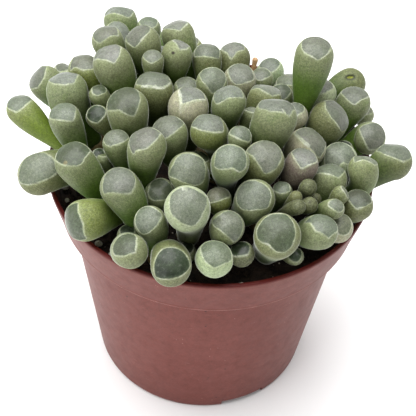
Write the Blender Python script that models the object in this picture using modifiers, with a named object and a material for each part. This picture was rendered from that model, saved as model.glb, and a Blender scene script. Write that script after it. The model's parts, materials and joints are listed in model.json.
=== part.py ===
"""Potted baby toes (Fenestraria): a turned plastic nursery pot with a collar,
its soil, and the clump of club-shaped leaves that fills it.

Every rosette is one closed body: one to four leaves grown together at a crown
whose short root sits in a pocket of the soil.  Metres, +Z up; the origin lies in
the plane of the foot ring, under the middle of the whole clump's box, so the
pot's own axis stands a little to one side of it.
"""
import math

import bmesh
import bpy
import numpy as np
from mathutils import Vector

# ---------------------------------------------------------------- dimensions
# The pot (millimetres; everything is turned into metres when meshes are made)
RIM_R = 32.5            # outside radius of the rim
POT_H = 51.7            # height of the pot
WALL = 1.0              # wall thickness
COLLAR_H = 9.6          # height of the collar band under the rim
COLLAR_R = 30.3         # radius at the lower edge of the collar
BODY_TOP_R = 28.3       # radius of the body just under the collar
BASE_R = 22.5           # radius of the foot
SOIL_DROP = 3.4         # soil surface below the rim at the wall
SOIL_MOUND = 1.4        # how much higher the soil is in the middle

# The layout of the leaf heads is drawn on an oblique plane through the middle
# of the rim.  That plane is seen from an eye point EYE_DIST away.
EYE_DIST = 260.0
EYE_TILT = math.radians(46.17)      # how steeply the plane's normal looks down
EYE_ROLL = math.radians(3.79)
EYE_RISE = 8.95                     # eye's own offset up the plane, mm
EYE_SIDE = 0.62                     # and sideways, mm

GAP = 0.38                          # clearance kept between leaves of different heads
N_ROSETTES = 42


def soil_z(rho):
    """Height of the soil surface above the pot's base at radius rho."""
    return POT_H - SOIL_DROP + SOIL_MOUND * (1.0 - np.minimum(rho / 28.0, 1.0) ** 2)


def plane_axes():
    ce, se = math.cos(EYE_TILT), math.sin(EYE_TILT)
    fwd = np.array([0.0, ce, -se])
    right = np.array([1.0, 0.0, 0.0])
    up = np.array([0.0, se, ce])
    cr, sr = math.cos(EYE_ROLL), math.sin(EYE_ROLL)
    return fwd, cr * right + sr * up, -sr * right + cr * up


FWD, PR, PU = plane_axes()
CENTRE = np.array([0.0, 0.0, POT_H])
EYE = CENTRE - EYE_DIST * FWD - EYE_SIDE * PR - EYE_RISE * PU


def sight(a, b):
    """Unit direction of the sight line through the point (a, b) of the plane."""
    d = CENTRE + a * PR + b * PU - EYE
    return d / np.linalg.norm(d)


def crown_height(x, y):
    """Height of the head centres above the rim over the plan point (x, y)."""
    rho = math.hypot(x, y)
    bump = math.exp(-((x + 15.0) ** 2 + (y - 22.0) ** 2) / (2 * 12.0 ** 2))
    return 14.0 - 11.0 * (rho / 34.0) ** 2.2 + 6.5 * bump


def on_crown(a, b, rise):
    """Point of the sight line through (a, b) that lies on the plant's crown.

    A line that passes over the crown gives the point where it comes closest."""
    d = sight(a, b)
    best = None
    for t in np.arange(215.0, 300.0, 0.25):
        p = EYE + t * d
        if math.hypot(p[0], p[1]) > 39.0 and p[1] > 0:
            break
        f = p[2] - POT_H - crown_height(p[0], p[1]) - rise
        if best is None or f < best[0]:
            best = (f, p)
        if f < 0:
            break
    return best[1]


def at_height(a, b, z):
    """Point of the sight line through (a, b) at the height z."""
    d = sight(a, b)
    return EYE + d * ((z - EYE[2]) / d[2])


# Leaves.  Each row: a, b = place of the head's middle on the oblique plane, mm;
# d = head diameter; rise = mm above the crown's even height; turn = which way
# the window faces on the plane, degrees clockwise from up; edge = how far the
# window's near edge lies past the head's middle, in head radii; neck = a point
# of the plane that the lower part of the leaf passes, where it is not straight
# below the head.
LEAVES = [
    (-17.67,  28.15,  7.0,  -2.0,    0, -0.35, None),
    (-12.90,  26.27,  5.0,  -2.0,    0,  0.00, None),
    ( -7.04,  25.16,  6.9,   0.0,  -12, -0.26, None),
    (-13.79,  23.66,  7.1,   0.0,  -38,  0.00, (-13.2, 18.6)),
    (-19.01,  25.45,  5.5,   3.0,    0, -0.22, None),
    (-20.36,  24.36,  6.4,   3.0,    5, -0.10, None),
    (-20.34,  19.62,  8.0,   2.0,  -15, -0.15, (-18.8, 13.2)),
    (-25.50,  18.19,  6.5,   0.0,    0,  0.00, None),
    (-29.56,  17.49,  3.8,   0.0,    0,  0.00, None),
    (-27.65,  14.82,  8.4,   1.0,    0, -0.33, (-26.6, 10.2)),
    (-33.02,  15.87,  6.8,  -2.0,  -62, -0.23, (-31.0, 11.2)),
    (-29.10,   9.33,  6.5,   0.0,  -10,  0.06, (-27.8, 3.2)),
    (-37.92,  10.74,  6.2,   0.0,   -8,  0.05, (-30.6, 3.0)),
    (-22.90,  13.81,  4.0,  -2.0,    0,  0.10, None),
    (-22.58,   9.54,  4.8,  -2.0,    5,  0.35, None),
    (-16.20,  11.35,  8.4,   1.0,  -20,  0.15, None),
    (-18.74,   4.48,  5.6,   0.0,  -20,  0.20, (-18.0, -1.4)),
    (-27.60,   0.17,  8.0,   0.0,  -35,  0.11, (-23.0, -6.8)),
    (-34.40,  -2.77,  8.6,   0.0,  -15,  0.45, None),
    (-24.59, -12.21,  8.7,   0.0,  -92, -0.23, (-18.2, -11.2)),
    (-18.21,  -5.55,  8.1,   0.0,  -12,  0.30, (-16.0, -11.8)),
    (-22.41,   1.43,  3.2,  -4.0,    0,  0.30, None),
    (-21.38,   0.65,  3.0,  -3.0,    0, -0.60, (-21.4, -3.4)),
    (-12.24,   3.27,  7.9,   2.0,  -25,  0.20, (-11.8, -4.4)),
    ( -8.03,   5.93,  7.6,   0.0,  -30,  0.10, (-7.0, 1.0)),
    ( -0.53,   6.01,  7.4,   0.0,    8,  0.00, None),
    (  5.33,   5.25,  4.9,   0.0,   20,  0.05, None),
    (  9.16,   8.97,  4.2,  -1.0,    0, -0.40, None),
    (-10.77,  14.73,  8.0,   0.0,    3, -0.05, (-10.6, 10.2)),
    (-11.02,  20.15,  4.5,   0.0,    0,  0.15, None),
    ( -6.93,  21.38,  6.3,   0.0,   35, -0.35, (-7.0, 16.6)),
    ( -1.49,  21.05,  6.1,   0.0,   -5,  0.00, None),
    (  4.61,  20.77,  6.9,   0.0,    0, -0.20, None),
    (  6.36,  16.12,  6.8,   0.0,    0,  0.30, None),
    (  9.87,  16.75,  4.8,  -1.0,    0,  0.10, None),
    ( 12.47,  18.00,  5.5,   0.0,  -10,  0.15, None),
    ( 14.64,  15.08,  6.4,   0.0,    0,  0.00, None),
    ( 10.09,  12.08,  7.0,   0.0,   15, -0.28, None),
    ( 12.89,  13.38,  5.0,  -2.0,    0,  0.30, None),
    ( 20.61,  21.21,  8.1,  10.0,    5,  0.00, (18.4, 10.2)),
    ( 22.19,  13.77,  6.0,   3.0,    3,  0.00, None),
    ( 27.62,  15.63,  6.2,   0.0,    0,  0.00, None),
    ( 28.88,  11.48,  6.8,   0.0,    5,  0.05, (28.2, 5.0)),
    ( 23.17,   8.43,  8.2,   2.0,   60, -0.12, (21.4, 4.6)),
    ( 30.09,   8.86,  4.3,  -2.0,   10,  0.00, None),
    ( 30.47,   3.91,  6.8,   0.0,   65,  0.28, None),
    ( 34.85,  -1.46,  7.7,   0.0,   20, -0.05, (32.2, -5.0)),
    ( 29.05,  -1.49,  6.1,   0.0,   20, -0.20, (29.0, -5.4)),
    ( 26.09,  -0.35,  7.6,   0.0,   -8,  0.25, None),
    ( 24.08,  -3.50,  7.3,   0.0,   12, -0.20, (24.6, -8.4)),
    ( 25.40,  -6.31,  3.6,  -1.0,   60, -0.50, None),
    ( 28.76,  -7.94,  6.4,   0.0,   15,  0.05, None),
    ( 18.65,   2.74,  8.4,   0.0,   35,  0.05, None),
    ( 17.66,  -0.44,  6.9,   0.0,    3,  0.10, (16.8, -5.4)),
    ( 10.36,   0.57,  8.5,   0.0,    5,  0.25, None),
    (  4.07,  -0.05,  7.4,   0.0,    0,  0.38, None),
    ( -3.40,  -1.88,  8.1,   0.0,  -15,  0.42, None),
    ( -2.40,   0.35,  6.2,  -1.0,    0,  0.00, None),
    ( -5.30,  -9.64,  9.3,   1.0,    8,  0.62, None),
    (-10.73,  -6.09,  6.6,  -1.0,    0,  0.50, None),
    (-12.31, -11.85,  6.7,   0.0,  -25,  0.42, (-10.2, -17.0)),
    (  2.14,  -7.14,  5.3,  -1.0,  -10,  0.05, None),
    (  2.41, -12.21,  7.1,   0.0,   20,  0.48, None),
    (  8.81,  -6.78,  8.1,   0.0,    0,  0.50, None),
    ( 14.38,  -5.80,  4.2,  -1.0,    0, -0.05, (14.4, -9.8)),
    ( 19.18,  -4.83,  3.5,   0.0,    0, -0.50, None),
    ( 17.86,  -7.20,  2.6,   0.0,    0, -0.50, None),
    ( 20.96,  -7.68,  2.6,   0.0,    0, -0.50, None),
    ( 17.60,  -8.33,  3.1,   0.0,    0, -0.50, None),
    ( 20.36,  -8.24,  3.4,   0.0,    0, -0.50, None),
    ( 24.56,  -9.73,  4.1,   0.0,   30,  0.20, (22.8, -10.8)),
    ( 21.52, -13.23,  7.3,   0.0,   35,  0.10, None),
    ( 12.78, -14.04,  9.5,   1.0,    5,  0.66, None),
    ( 16.73, -18.59,  3.8,  -1.0,    0,  0.60, None),
    ( 25.30, -13.06,  6.1,  -1.0,   30,  0.40, None),
    (  7.04, -17.23,  5.2,  -2.0,  -20,  0.20, None),
    (  1.05, -18.55,  7.6,   0.0,    0,  0.42, None),
    ( -8.56, -20.66,  8.4,   0.0,   20,  0.60, None),
    (-15.16, -17.09,  7.2,   0.0,  -20,  0.15, None),
    (-16.80, -14.43,  4.2,  -2.0,    0,  0.30, None),
    ( -6.16, -18.28,  4.2,  -3.0,    0,  0.00, None),
    ( 27.51,   2.27,  4.0,  -3.0,    0,  0.30, None),
    ( -4.04,  14.90,  5.7,   0.0,    0,  0.30, None),
    ( -4.30,  11.25,  8.4,   0.0,   15,  0.00, None),
    (  0.10,  15.61,  6.5,   0.0,   45,  0.35, None),
    (  3.83,  12.00,  6.8,   0.0,   -3, -0.15, (3.6, 7.2)),
    ( 12.46,   8.00,  8.9,   0.0,   10, -0.28, (13.2, 3.8)),
    ( 17.29,   8.96,  5.4,   0.0,  -10,  0.10, None),
]

# The dry flower stalk left standing among the leaves at the back is laid out
# like a leaf of 1.2 mm.
LEAVES.append((8.7, 20.6, 1.2, 1.5, 0, 0.0, None))

# Leaves on the far side and between the others.  Each row: x, y in plan, mm,
# height of the head above the rim, head diameter, window turn.
FAR_LEAVES = [
    (-27.0, 20.5, 2.0, 7.0, -45),
    (-16.0, 30.0, 3.5, 7.4, -20),
    (-7.5, 29.5, 4.0, 7.0, -8),
    (3.0, 26.5, 3.6, 7.2, 5),
    (-13.0, 25.0, 6.0, 6.6, -10),
    (11.5, 23.0, 2.6, 6.6, 20),
    (19.5, 21.5, 0.6, 6.0, 35),
    (-22.5, 20.5, 5.5, 6.6, -30),
    (-2.5, 22.5, 8.0, 6.8, 0),
]


def shape_of(x):
    """Leaf radius x head radii below the head's middle, as a share of the head radius."""
    s = np.clip((x - 0.15) / 3.7, 0.0, 1.0)
    return 0.36 + 0.64 * (1.0 - s * s * (3.0 - 2.0 * s))


def lengths(foot, mid, head):
    """Approximate length of each leaf's curve."""
    chord = np.linalg.norm(head - foot, axis=1)
    net = np.linalg.norm(head - mid, axis=1) + np.linalg.norm(mid - foot, axis=1)
    return (2 * chord + net) / 3


def bez(t):
    return np.stack([(1 - t) ** 2, 2 * t * (1 - t), t ** 2], -1)


def plan_leaves():
    """First positions of every head, and the rosette each leaf grows from."""
    head, rad, ray, via, turn, edge = [], [], [], [], [], []
    for a, b, d, rise, tu, ed, neck in LEAVES:
        h = on_crown(a, b, rise)
        head.append(h)
        rad.append(0.98 * d / 2 * float((h - EYE) @ FWD) / EYE_DIST)
        ray.append(sight(a, b))
        via.append(None if neck is None else at_height(neck[0], neck[1], 0.55 * h[2] + 0.45 * (POT_H - 2)))
        turn.append(tu)
        edge.append(ed)
    for x, y, z, d, tu in FAR_LEAVES:
        h = np.array([x, y, POT_H + z])
        head.append(h)
        rad.append(d / 2)
        r = h - EYE
        ray.append(r / np.linalg.norm(r))
        via.append(None)
        turn.append(tu)
        edge.append(-0.2)
    head, rad, ray = np.array(head), np.array(rad), np.array(ray)
    n = len(head)
    # where each leaf enters the soil: drawn in towards the pot's axis
    foot = np.zeros((n, 2))
    for i in range(n):
        p = head[i, :2].copy()
        if via[i] is not None:
            p = head[i, :2] + 1.7 * (via[i][:2] - head[i, :2])
        rho = math.hypot(*p)
        k = 0.74 if via[i] is None else 0.86
        lim = 24.5
        foot[i] = p * min(k, lim / max(rho, 1e-6))
    # leaves that stand together share a rosette, at most four to each
    groups = [[i] for i in range(n)]
    cen = [foot[i].copy() for i in range(n)]
    while len(groups) > N_ROSETTES:
        best = None
        for i in range(len(groups)):
            for j in range(i + 1, len(groups)):
                if len(groups[i]) + len(groups[j]) > 4:
                    continue
                dd = float(np.hypot(*(cen[i] - cen[j]))) + 0.9 * (len(groups[i]) + len(groups[j]))
                if best is None or dd < best[0]:
                    best = (dd, i, j)
        if best is None:
            break
        _, i, j = best
        groups[i] = groups[i] + groups[j]
        cen[i] = foot[groups[i]].mean(axis=0)
        del groups[j], cen[j]
    order = sorted(range(len(groups)), key=lambda g: (-round(float(cen[g][1]), 3), float(cen[g][0])))
    groups = [sorted(groups[g]) for g in order]
    cen = np.array([cen[g] for g in order])
    return head, rad, ray, via, turn, edge, groups, cen


TS = np.array([0.05, 0.16, 0.28, 0.40, 0.51, 0.61, 0.70, 0.78, 0.85, 0.92, 1.0])


def settle(steps=520):
    """Let the leaves push each other apart until none of them touch."""
    head, rad, ray, via, turn, edge, groups, cen = plan_leaves()
    n = len(head)
    gid = np.zeros(n, int)
    for g, mem in enumerate(groups):
        gid[mem] = g
    target = head.copy()
    crown = cen.copy()
    crown0 = cen.copy()
    W = bez(TS)                                   # (m, 3)
    m = len(TS)
    def feet(crown, head):
        c = crown[gid]
        d = head[:, :2] - c
        l = np.maximum(np.hypot(d[:, 0], d[:, 1]), 1e-6)[:, None]
        f = c + d / l * np.minimum(1.0, l)
        return np.column_stack([f, soil_z(np.hypot(f[:, 0], f[:, 1])) + 1.6])

    def rest_mid(foot, head):
        m0 = np.column_stack([0.62 * foot[:, :2] + 0.38 * head[:, :2], 0.45 * foot[:, 2] + 0.55 * head[:, 2]])
        for i in range(n):
            if via[i] is not None:
                m0[i] = 0.35 * m0[i] + 0.65 * via[i]
        return m0

    foot = feet(crown, head)
    mid = rest_mid(foot, head)
    size = lengths(foot, mid, head) / rad
    rr = np.maximum(rad[:, None] * shape_of(size[:, None] * (1 - TS[None, :])), 0.5)     # (n, m)
    lf = np.repeat(np.arange(n), m)
    st = np.tile(np.arange(m), n)
    rs = rr.reshape(-1)
    nc = len(crown)
    lfa = np.concatenate([lf, n + np.arange(nc)])
    ga = np.concatenate([gid[lf], np.arange(nc)])
    rs_all = np.concatenate([rs, np.full(nc, 2.7)])
    low = np.concatenate([TS[st] < 0.55, np.ones(nc, bool)])
    same = ga[:, None] == ga[None, :]
    own = lfa[:, None] == lfa[None, :]
    skip = own | (same & (low[:, None] | low[None, :]))
    skip[n * m:, n * m:] = True
    need = rs_all[:, None] + rs_all[None, :] + np.where(same, 0.12, GAP)
    w = W[st]                                     # (nm, 3)
    lip_r, lip_z = RIM_R - 0.5, POT_H
    for it in range(steps):
        P = np.stack([foot, mid, head], 1)        # (n,3,3)
        S = np.einsum('mk,nkc->nmc', W, P).reshape(-1, 3)
        cz = soil_z(np.hypot(crown[:, 0], crown[:, 1])) + 1.0
        S = np.concatenate([S, np.column_stack([crown, cz])])
        if it % 12 == 0:
            D = ((S[:, None, :] - S[None, :, :]) ** 2).sum(-1)
            ok = (D < (need + 3.0) ** 2) & ~skip
            ia, ib = np.nonzero(np.triu(ok, 1))
            nd = need[ia, ib]
        D = S[ia] - S[ib]
        dist = np.sqrt((D ** 2).sum(-1)) + 1e-9
        over = np.maximum(nd - dist, 0.0)
        half = D * (0.5 * over / dist)[:, None]
        push = np.stack([np.bincount(ia, half[:, k], len(S)) - np.bincount(ib, half[:, k], len(S)) for k in range(3)], 1)
        act0 = (over > 0).astype(float)
        hit = np.bincount(ia, act0, len(S)) + np.bincount(ib, act0, len(S))
        crown_push = push[n * m:, :2] / np.sqrt(np.maximum(hit[n * m:], 1))[:, None]
        S, push, hit = S[:n * m], push[:n * m], hit[:n * m]
        # the pot's lip and wall, and the soil
        rho = np.hypot(S[:, 0], S[:, 1]) + 1e-9
        er = S[:, :2] / rho[:, None]
        dr, dz = rho - lip_r, S[:, 2] - lip_z
        dl = np.sqrt(dr ** 2 + dz ** 2) + 1e-9
        o = np.maximum(rs + 0.55 + 0.35 - dl, 0)
        push[:, 0] += er[:, 0] * dr / dl * o
        push[:, 1] += er[:, 1] * dr / dl * o
        push[:, 2] += dz / dl * o
        inside = S[:, 2] < lip_z
        o2 = np.where(inside, np.maximum(rho + rs - (RIM_R - WALL - 0.7), 0), 0)
        push[:, 0] -= er[:, 0] * o2
        push[:, 1] -= er[:, 1] * o2
        o3 = np.where(TS[st] > 0.3, np.maximum(soil_z(rho) + 0.35 + rs - S[:, 2], 0), 0)
        o3 = np.where(rho > lip_r, 0, o3)
        push[:, 2] += o3
        act = (hit > 0) | (o > 0) | (o2 > 0) | (o3 > 0)
        cnt = np.maximum(hit, 1)
        push = push / np.sqrt(cnt)[:, None]
        dP = np.einsum('mk,nmc->nkc', W, push.reshape(n, m, 3))
        nw = act.reshape(n, m).astype(float) @ W
        dP /= np.maximum(nw, 0.6)[..., None]
        lim = 0.6
        dP = np.clip(dP * 1.5, -lim, lim)
        head = head + dP[:, 2]
        mid = mid + dP[:, 1]
        cd = np.zeros_like(crown)
        cn = np.zeros(len(crown))
        np.add.at(cd, gid, dP[:, 0, :2])
        np.add.at(cn, gid, 1.0)
        crown = crown + cd / cn[:, None] + crown_push
        # crowns keep apart and stay inside the pot
        C = crown[:, None] - crown[None]
        cdist = np.sqrt((C ** 2).sum(-1)) + 1e-9
        co = np.maximum(6.7 - cdist, 0)
        np.fill_diagonal(co, 0)
        crown = crown + (C / cdist[..., None] * (0.5 * co)[..., None]).sum(1)
        cr = np.hypot(crown[:, 0], crown[:, 1])
        crown = crown * np.minimum(1.0, 25.6 / np.maximum(cr, 1e-6))[:, None]
        # ease back to the drawn places, firmly across the sight line and
        # loosely along it; nothing eases back in the last steps
        ease = 1.0 if it < steps * 0.75 else max(0.0, 1.0 - (it - steps * 0.75) / (steps * 0.12))
        e = target - head
        along = (e * ray).sum(1, keepdims=True) * ray
        head = head + ease * (0.25 * (e - along) + 0.012 * along)
        foot = feet(crown, head)
        mid = mid + ease * 0.05 * (rest_mid(foot, head) - mid)
        crown = crown + ease * 0.02 * (crown0 - crown)
    worst = float(over.max())
    return dict(head=head, mid=mid, foot=foot, rad=rad, size=size, crown=crown, groups=groups, gid=gid,
                turn=np.array(turn, float), edge=np.array(edge), target=target, ray=ray, worst=worst, over=over, pairs=(ia, ib), lf=lfa, st=np.concatenate([st, np.full(nc, -1)]))


def window_axis(h, turn, edge, alpha=math.radians(52)):
    """Outward direction of a head's window."""
    v = EYE - h
    v /= np.linalg.norm(v)
    r = np.cross(PU, v)
    r /= np.linalg.norm(r)
    u = np.cross(v, r)
    phi = alpha - math.asin(max(-0.9, min(0.9, edge)))
    phi = max(0.0, min(phi, math.radians(80)))
    t = math.radians(turn)
    return math.cos(phi) * v + math.sin(phi) * (math.sin(t) * r + math.cos(t) * u)


# ---------------------------------------------------------------- model
MM = 0.001
POT_SEGMENTS = 48
LEAF_SIDES = 7
CROWN_SIDES = 6
ROOT_LEN = 4.0          # how deep a rosette's root sits in the soil
ROOT_GAP = 0.3          # clearance around it
FOOT_H = 2.0            # height of the foot ring under the pot's floor
FLOOR_T = 1.2           # thickness of the pot's floor
NOTCH_W = 9.8           # drain notches in the foot ring
NOTCH_ANGLES = (-63.0, 57.0, 177.0)
HOLE_R = 2.6            # drain holes in the floor
# Perlite grains by the wall: angle, radius from the axis, grain radius
GRAINS = [(193.0, 29.3, 0.8), (200.0, 29.5, 0.55), (226.0, 29.3, 0.75),
          (233.0, 29.5, 0.6), (263.0, 29.6, 0.45), (284.0, 29.6, 0.5)]


def clear_scene():
    for ob in list(bpy.data.objects):
        bpy.data.objects.remove(ob, do_unlink=True)


def new_collection(name):
    c = bpy.data.collections.new(name)
    bpy.context.scene.collection.children.link(c)
    return c


def material(name, colour, roughness, metallic=0.0):
    m = bpy.data.materials.new(name)
    m.use_nodes = True
    b = m.node_tree.nodes["Principled BSDF"]
    b.inputs["Base Color"].default_value = (*colour, 1.0)
    b.inputs["Roughness"].default_value = roughness
    b.inputs["Metallic"].default_value = metallic
    m.diffuse_color = (*colour, 1.0)
    return m


def mesh_object(name, bm, coll, mat=None):
    me = bpy.data.meshes.new(name)
    bm.to_mesh(me)
    bm.free()
    ob = bpy.data.objects.new(name, me)
    coll.objects.link(ob)
    if mat:
        me.materials.append(mat)
    return ob


def lathe(name, profile, steps, coll, mat=None, merge=True):
    """Turn a profile of (radius, height) points, outer side top to bottom."""
    bm = bmesh.new()
    vs = [bm.verts.new((r * MM, 0.0, z * MM)) for r, z in profile]
    closed = profile[0][0] > 1e-6 or profile[-1][0] > 1e-6
    for i in range(len(vs) - 1):
        bm.edges.new((vs[i], vs[i + 1]))
    if closed:
        bm.edges.new((vs[-1], vs[0]))
    ob = mesh_object(name, bm, coll, mat)
    sc = ob.modifiers.new("Turn", "SCREW")
    sc.steps = sc.render_steps = steps
    sc.use_merge_vertices = True
    sc.merge_threshold = 0.00001
    sc.use_smooth_shade = True
    return ob


def apply_modifiers(ob):
    dg = bpy.context.evaluated_depsgraph_get()
    me = bpy.data.meshes.new_from_object(ob.evaluated_get(dg))
    ob.modifiers.clear()
    old = ob.data
    ob.data = me
    bpy.data.meshes.remove(old)
    return ob


def boolean(ob, cutter, operation):
    md = ob.modifiers.new(operation.title(), "BOOLEAN")
    md.operation = operation
    md.solver = "EXACT"
    md.object = cutter


def is_closed(ob):
    """Whether the evaluated mesh has faces and no open or shared-out edge."""
    bpy.context.view_layer.update()
    dg = bpy.context.evaluated_depsgraph_get()
    bm = bmesh.new()
    bm.from_mesh(ob.evaluated_get(dg).data)
    good = len(bm.faces) > 0 and all(e.is_manifold for e in bm.edges) and all(v.is_manifold for v in bm.verts)
    bm.free()
    return good


def as_cutter(ob):
    ob.hide_render = True
    ob.display_type = "WIRE"
    return ob


def smooth(ob, angle=35.0):
    ob.data.shade_smooth()
    ob.data.set_sharp_from_angle(angle=math.radians(angle))


def leaf_bmesh(bm, foot, mid, head, radius, size, window):
    """Loft one club-shaped leaf along its own curve and cut its window flat."""
    foot, mid, head = Vector(foot), Vector(mid), Vector(head)
    axis_end = (head - mid).normalized()
    stations = [(0.0, None), (0.42, None), (0.76, None), (1.0, None), (1.0, 0.5), (1.0, 0.84)]
    side = Vector((1.0, 0.0, 0.0))
    rings = []
    for t, over in stations:
        p = foot * (1 - t) ** 2 + mid * 2 * t * (1 - t) + head * t * t
        tan = ((mid - foot) * (1 - t) + (head - mid) * t).normalized()
        if over is None:
            r = max(radius * float(shape_of(size * (1 - t))), 0.5)
        else:
            p = head + axis_end * radius * over
            r = radius * math.sqrt(max(0.05, 1 - over ** 2))
            tan = axis_end
        side = (side - tan * side.dot(tan)).normalized()
        other = tan.cross(side)
        ring = []
        for k in range(LEAF_SIDES):
            a = 2 * math.pi * k / LEAF_SIDES
            ring.append(bm.verts.new((p + (side * math.cos(a) + other * math.sin(a)) * r) * MM))
        rings.append(ring)
    for a, b in zip(rings[:-1], rings[1:]):
        for k in range(LEAF_SIDES):
            j = (k + 1) % LEAF_SIDES
            bm.faces.new((a[k], a[j], b[j], b[k]))
    bm.faces.new(list(reversed(rings[0])))
    bm.faces.new(rings[-1])
    cut = bmesh.ops.bisect_plane(bm, geom=bm.verts[:] + bm.edges[:] + bm.faces[:], dist=1e-6,
                                 plane_co=(head + window * 0.74 * radius) * MM, plane_no=window,
                                 clear_outer=True)
    rim = [e for e in cut["geom_cut"] if isinstance(e, bmesh.types.BMEdge)]
    if rim:
        bmesh.ops.contextual_create(bm, geom=rim)
    bmesh.ops.recalc_face_normals(bm, faces=bm.faces[:])


def crown_profile(z):
    return [(0.0, z + 2.9), (1.9, z + 2.3), (2.5, z + 0.6), (1.5, z - 0.5),
            (0.9, z - ROOT_LEN), (0.0, z - ROOT_LEN)]


def build():
    clear_scene()
    parts = new_collection("potted_baby_toes")
    cutters = new_collection("cutters")
    terracotta = material("pot_plastic", (0.30, 0.105, 0.085), 0.45)
    peat = material("peat", (0.022, 0.016, 0.012), 0.95)
    leaf_green = material("leaf", (0.19, 0.27, 0.16), 0.55)
    straw = material("dry_leaf", (0.45, 0.30, 0.12), 0.8)
    perlite = material("perlite", (0.75, 0.73, 0.68), 0.85)

    layout = settle()

    # --- pot: one thin wall from the foot ring up to the rolled rim
    z_c = POT_H - COLLAR_H

    def body_r(z):
        return BASE_R + (BODY_TOP_R - BASE_R) * z / z_c

    outer = [(RIM_R - 0.25, POT_H), (RIM_R, POT_H - 0.35),
             (COLLAR_R, z_c + 0.3), (COLLAR_R - 0.3, z_c),
             (BODY_TOP_R, z_c - 0.3), (body_r(0.6), 0.6), (BASE_R - 0.3, 0.0)]
    inner = [(BASE_R - WALL - 0.3, 0.0), (BASE_R - WALL - 0.3, FOOT_H), (0.0, FOOT_H),
             (0.0, FOOT_H + FLOOR_T), (body_r(FOOT_H + FLOOR_T) - WALL, FOOT_H + FLOOR_T),
             (BODY_TOP_R - WALL, z_c - 0.9), (COLLAR_R - WALL, z_c + 0.9), (RIM_R - WALL + 0.25, POT_H)]
    profile = outer + inner
    bm = bmesh.new()
    vs = [bm.verts.new((r * MM, 0.0, z * MM)) for r, z in profile]
    n_mid = profile.index((0.0, FOOT_H))
    for i in range(len(vs) - 1):
        if i != n_mid:
            bm.edges.new((vs[i], vs[i + 1]))
    bm.edges.new((vs[-1], vs[0]))
    pot = mesh_object("pot", bm, parts, terracotta)
    sc = pot.modifiers.new("Turn", "SCREW")
    sc.steps = sc.render_steps = POT_SEGMENTS
    sc.use_merge_vertices = True
    sc.merge_threshold = 0.00001

    # drain notches through the foot ring and holes through the floor
    for i, ang in enumerate(NOTCH_ANGLES):
        a = math.radians(ang)
        bpy.ops.mesh.primitive_cube_add(size=1.0)
        c = bpy.context.object
        c.name = "notch_cutter_%d" % i
        c.scale = (6.0 * MM, NOTCH_W * MM, 2 * 1.8 * MM)
        c.rotation_euler = (0, 0, a)
        c.location = (BASE_R * MM * math.cos(a), BASE_R * MM * math.sin(a), 0.0)
        for col in list(c.users_collection):
            col.objects.unlink(c)
        cutters.objects.link(as_cutter(c))
        boolean(pot, c, "DIFFERENCE")
    for i in range(4):
        a = math.radians(NOTCH_ANGLES[0] + 60.0 + 120.0 * i)
        r = 0.0 if i == 3 else 14.5
        bpy.ops.mesh.primitive_cylinder_add(vertices=12, radius=HOLE_R * MM, depth=8 * MM)
        c = bpy.context.object
        c.name = "drain_cutter_%d" % i
        c.location = (r * MM * math.cos(a), r * MM * math.sin(a), (FOOT_H + FLOOR_T / 2) * MM)
        for col in list(c.users_collection):
            col.objects.unlink(c)
        cutters.objects.link(as_cutter(c))
        boolean(pot, c, "DIFFERENCE")
    smooth(pot)

    # --- soil: fills the pot up to a low mound, with a pocket for every root
    g = 0.3
    top_r = COLLAR_R - WALL - g + (RIM_R - COLLAR_R) * (COLLAR_H - SOIL_DROP - 0.9) / (COLLAR_H - 1.5)
    soil_profile = [(0.0, float(soil_z(0.0)))]
    for r in (12.0, 21.0):
        soil_profile.append((r, float(soil_z(r))))
    soil_profile += [(top_r - 0.4, float(soil_z(top_r))), (top_r, float(soil_z(top_r)) - 0.5),
                     (COLLAR_R - WALL - g, z_c + 1.1), (BODY_TOP_R - WALL - g, z_c - 1.2),
                     (body_r(FOOT_H + FLOOR_T + g) - WALL - g, FOOT_H + FLOOR_T + g),
                     (0.0, FOOT_H + FLOOR_T + g)]
    soil = lathe("soil", soil_profile, POT_SEGMENTS, parts, peat)
    bm = bmesh.new()
    for cx, cy in layout["crown"]:
        z = float(soil_z(math.hypot(cx, cy)))
        prof = [(2.5 + 2 * ROOT_GAP, z + 1.5), (2.5 + 2 * ROOT_GAP, z - 0.1),
                (1.5 + 1.5 * ROOT_GAP, z - 0.5 - ROOT_GAP), (0.9 + ROOT_GAP, z - ROOT_LEN - ROOT_GAP)]
        rings = []
        for r, h in prof:
            rings.append([bm.verts.new(((cx + r * math.cos(2 * math.pi * k / CROWN_SIDES)) * MM,
                                        (cy + r * math.sin(2 * math.pi * k / CROWN_SIDES)) * MM, h * MM))
                          for k in range(CROWN_SIDES)])
        for a, b in zip(rings[:-1], rings[1:]):
            for k in range(CROWN_SIDES):
                j = (k + 1) % CROWN_SIDES
                bm.faces.new((b[k], b[j], a[j], a[k]))
        bm.faces.new(rings[0])
        bm.faces.new(list(reversed(rings[-1])))
    bm.normal_update()
    pockets = mesh_object("pocket_cutter", bm, cutters)
    as_cutter(pockets)
    boolean(soil, pockets, "DIFFERENCE")
    smooth(soil)

    # --- perlite: a few white grains lying on the soil by the wall
    for k, (ang, rho, rad) in enumerate(GRAINS):
        a = math.radians(ang)
        bpy.ops.mesh.primitive_ico_sphere_add(subdivisions=1, radius=rad * MM)
        c = bpy.context.object
        c.name = "perlite_%d" % (k + 1)
        c.data.name = c.name
        c.scale = (1.15, 0.9, 0.8)
        c.rotation_euler = (0.0, 0.0, 0.7 * k)
        c.location = (rho * MM * math.cos(a), rho * MM * math.sin(a),
                      (float(soil_z(rho)) + 0.8 * rad + 0.3) * MM)
        c.data.materials.append(perlite)
        for col in list(c.users_collection):
            col.objects.unlink(c)
        parts.objects.link(c)

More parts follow.
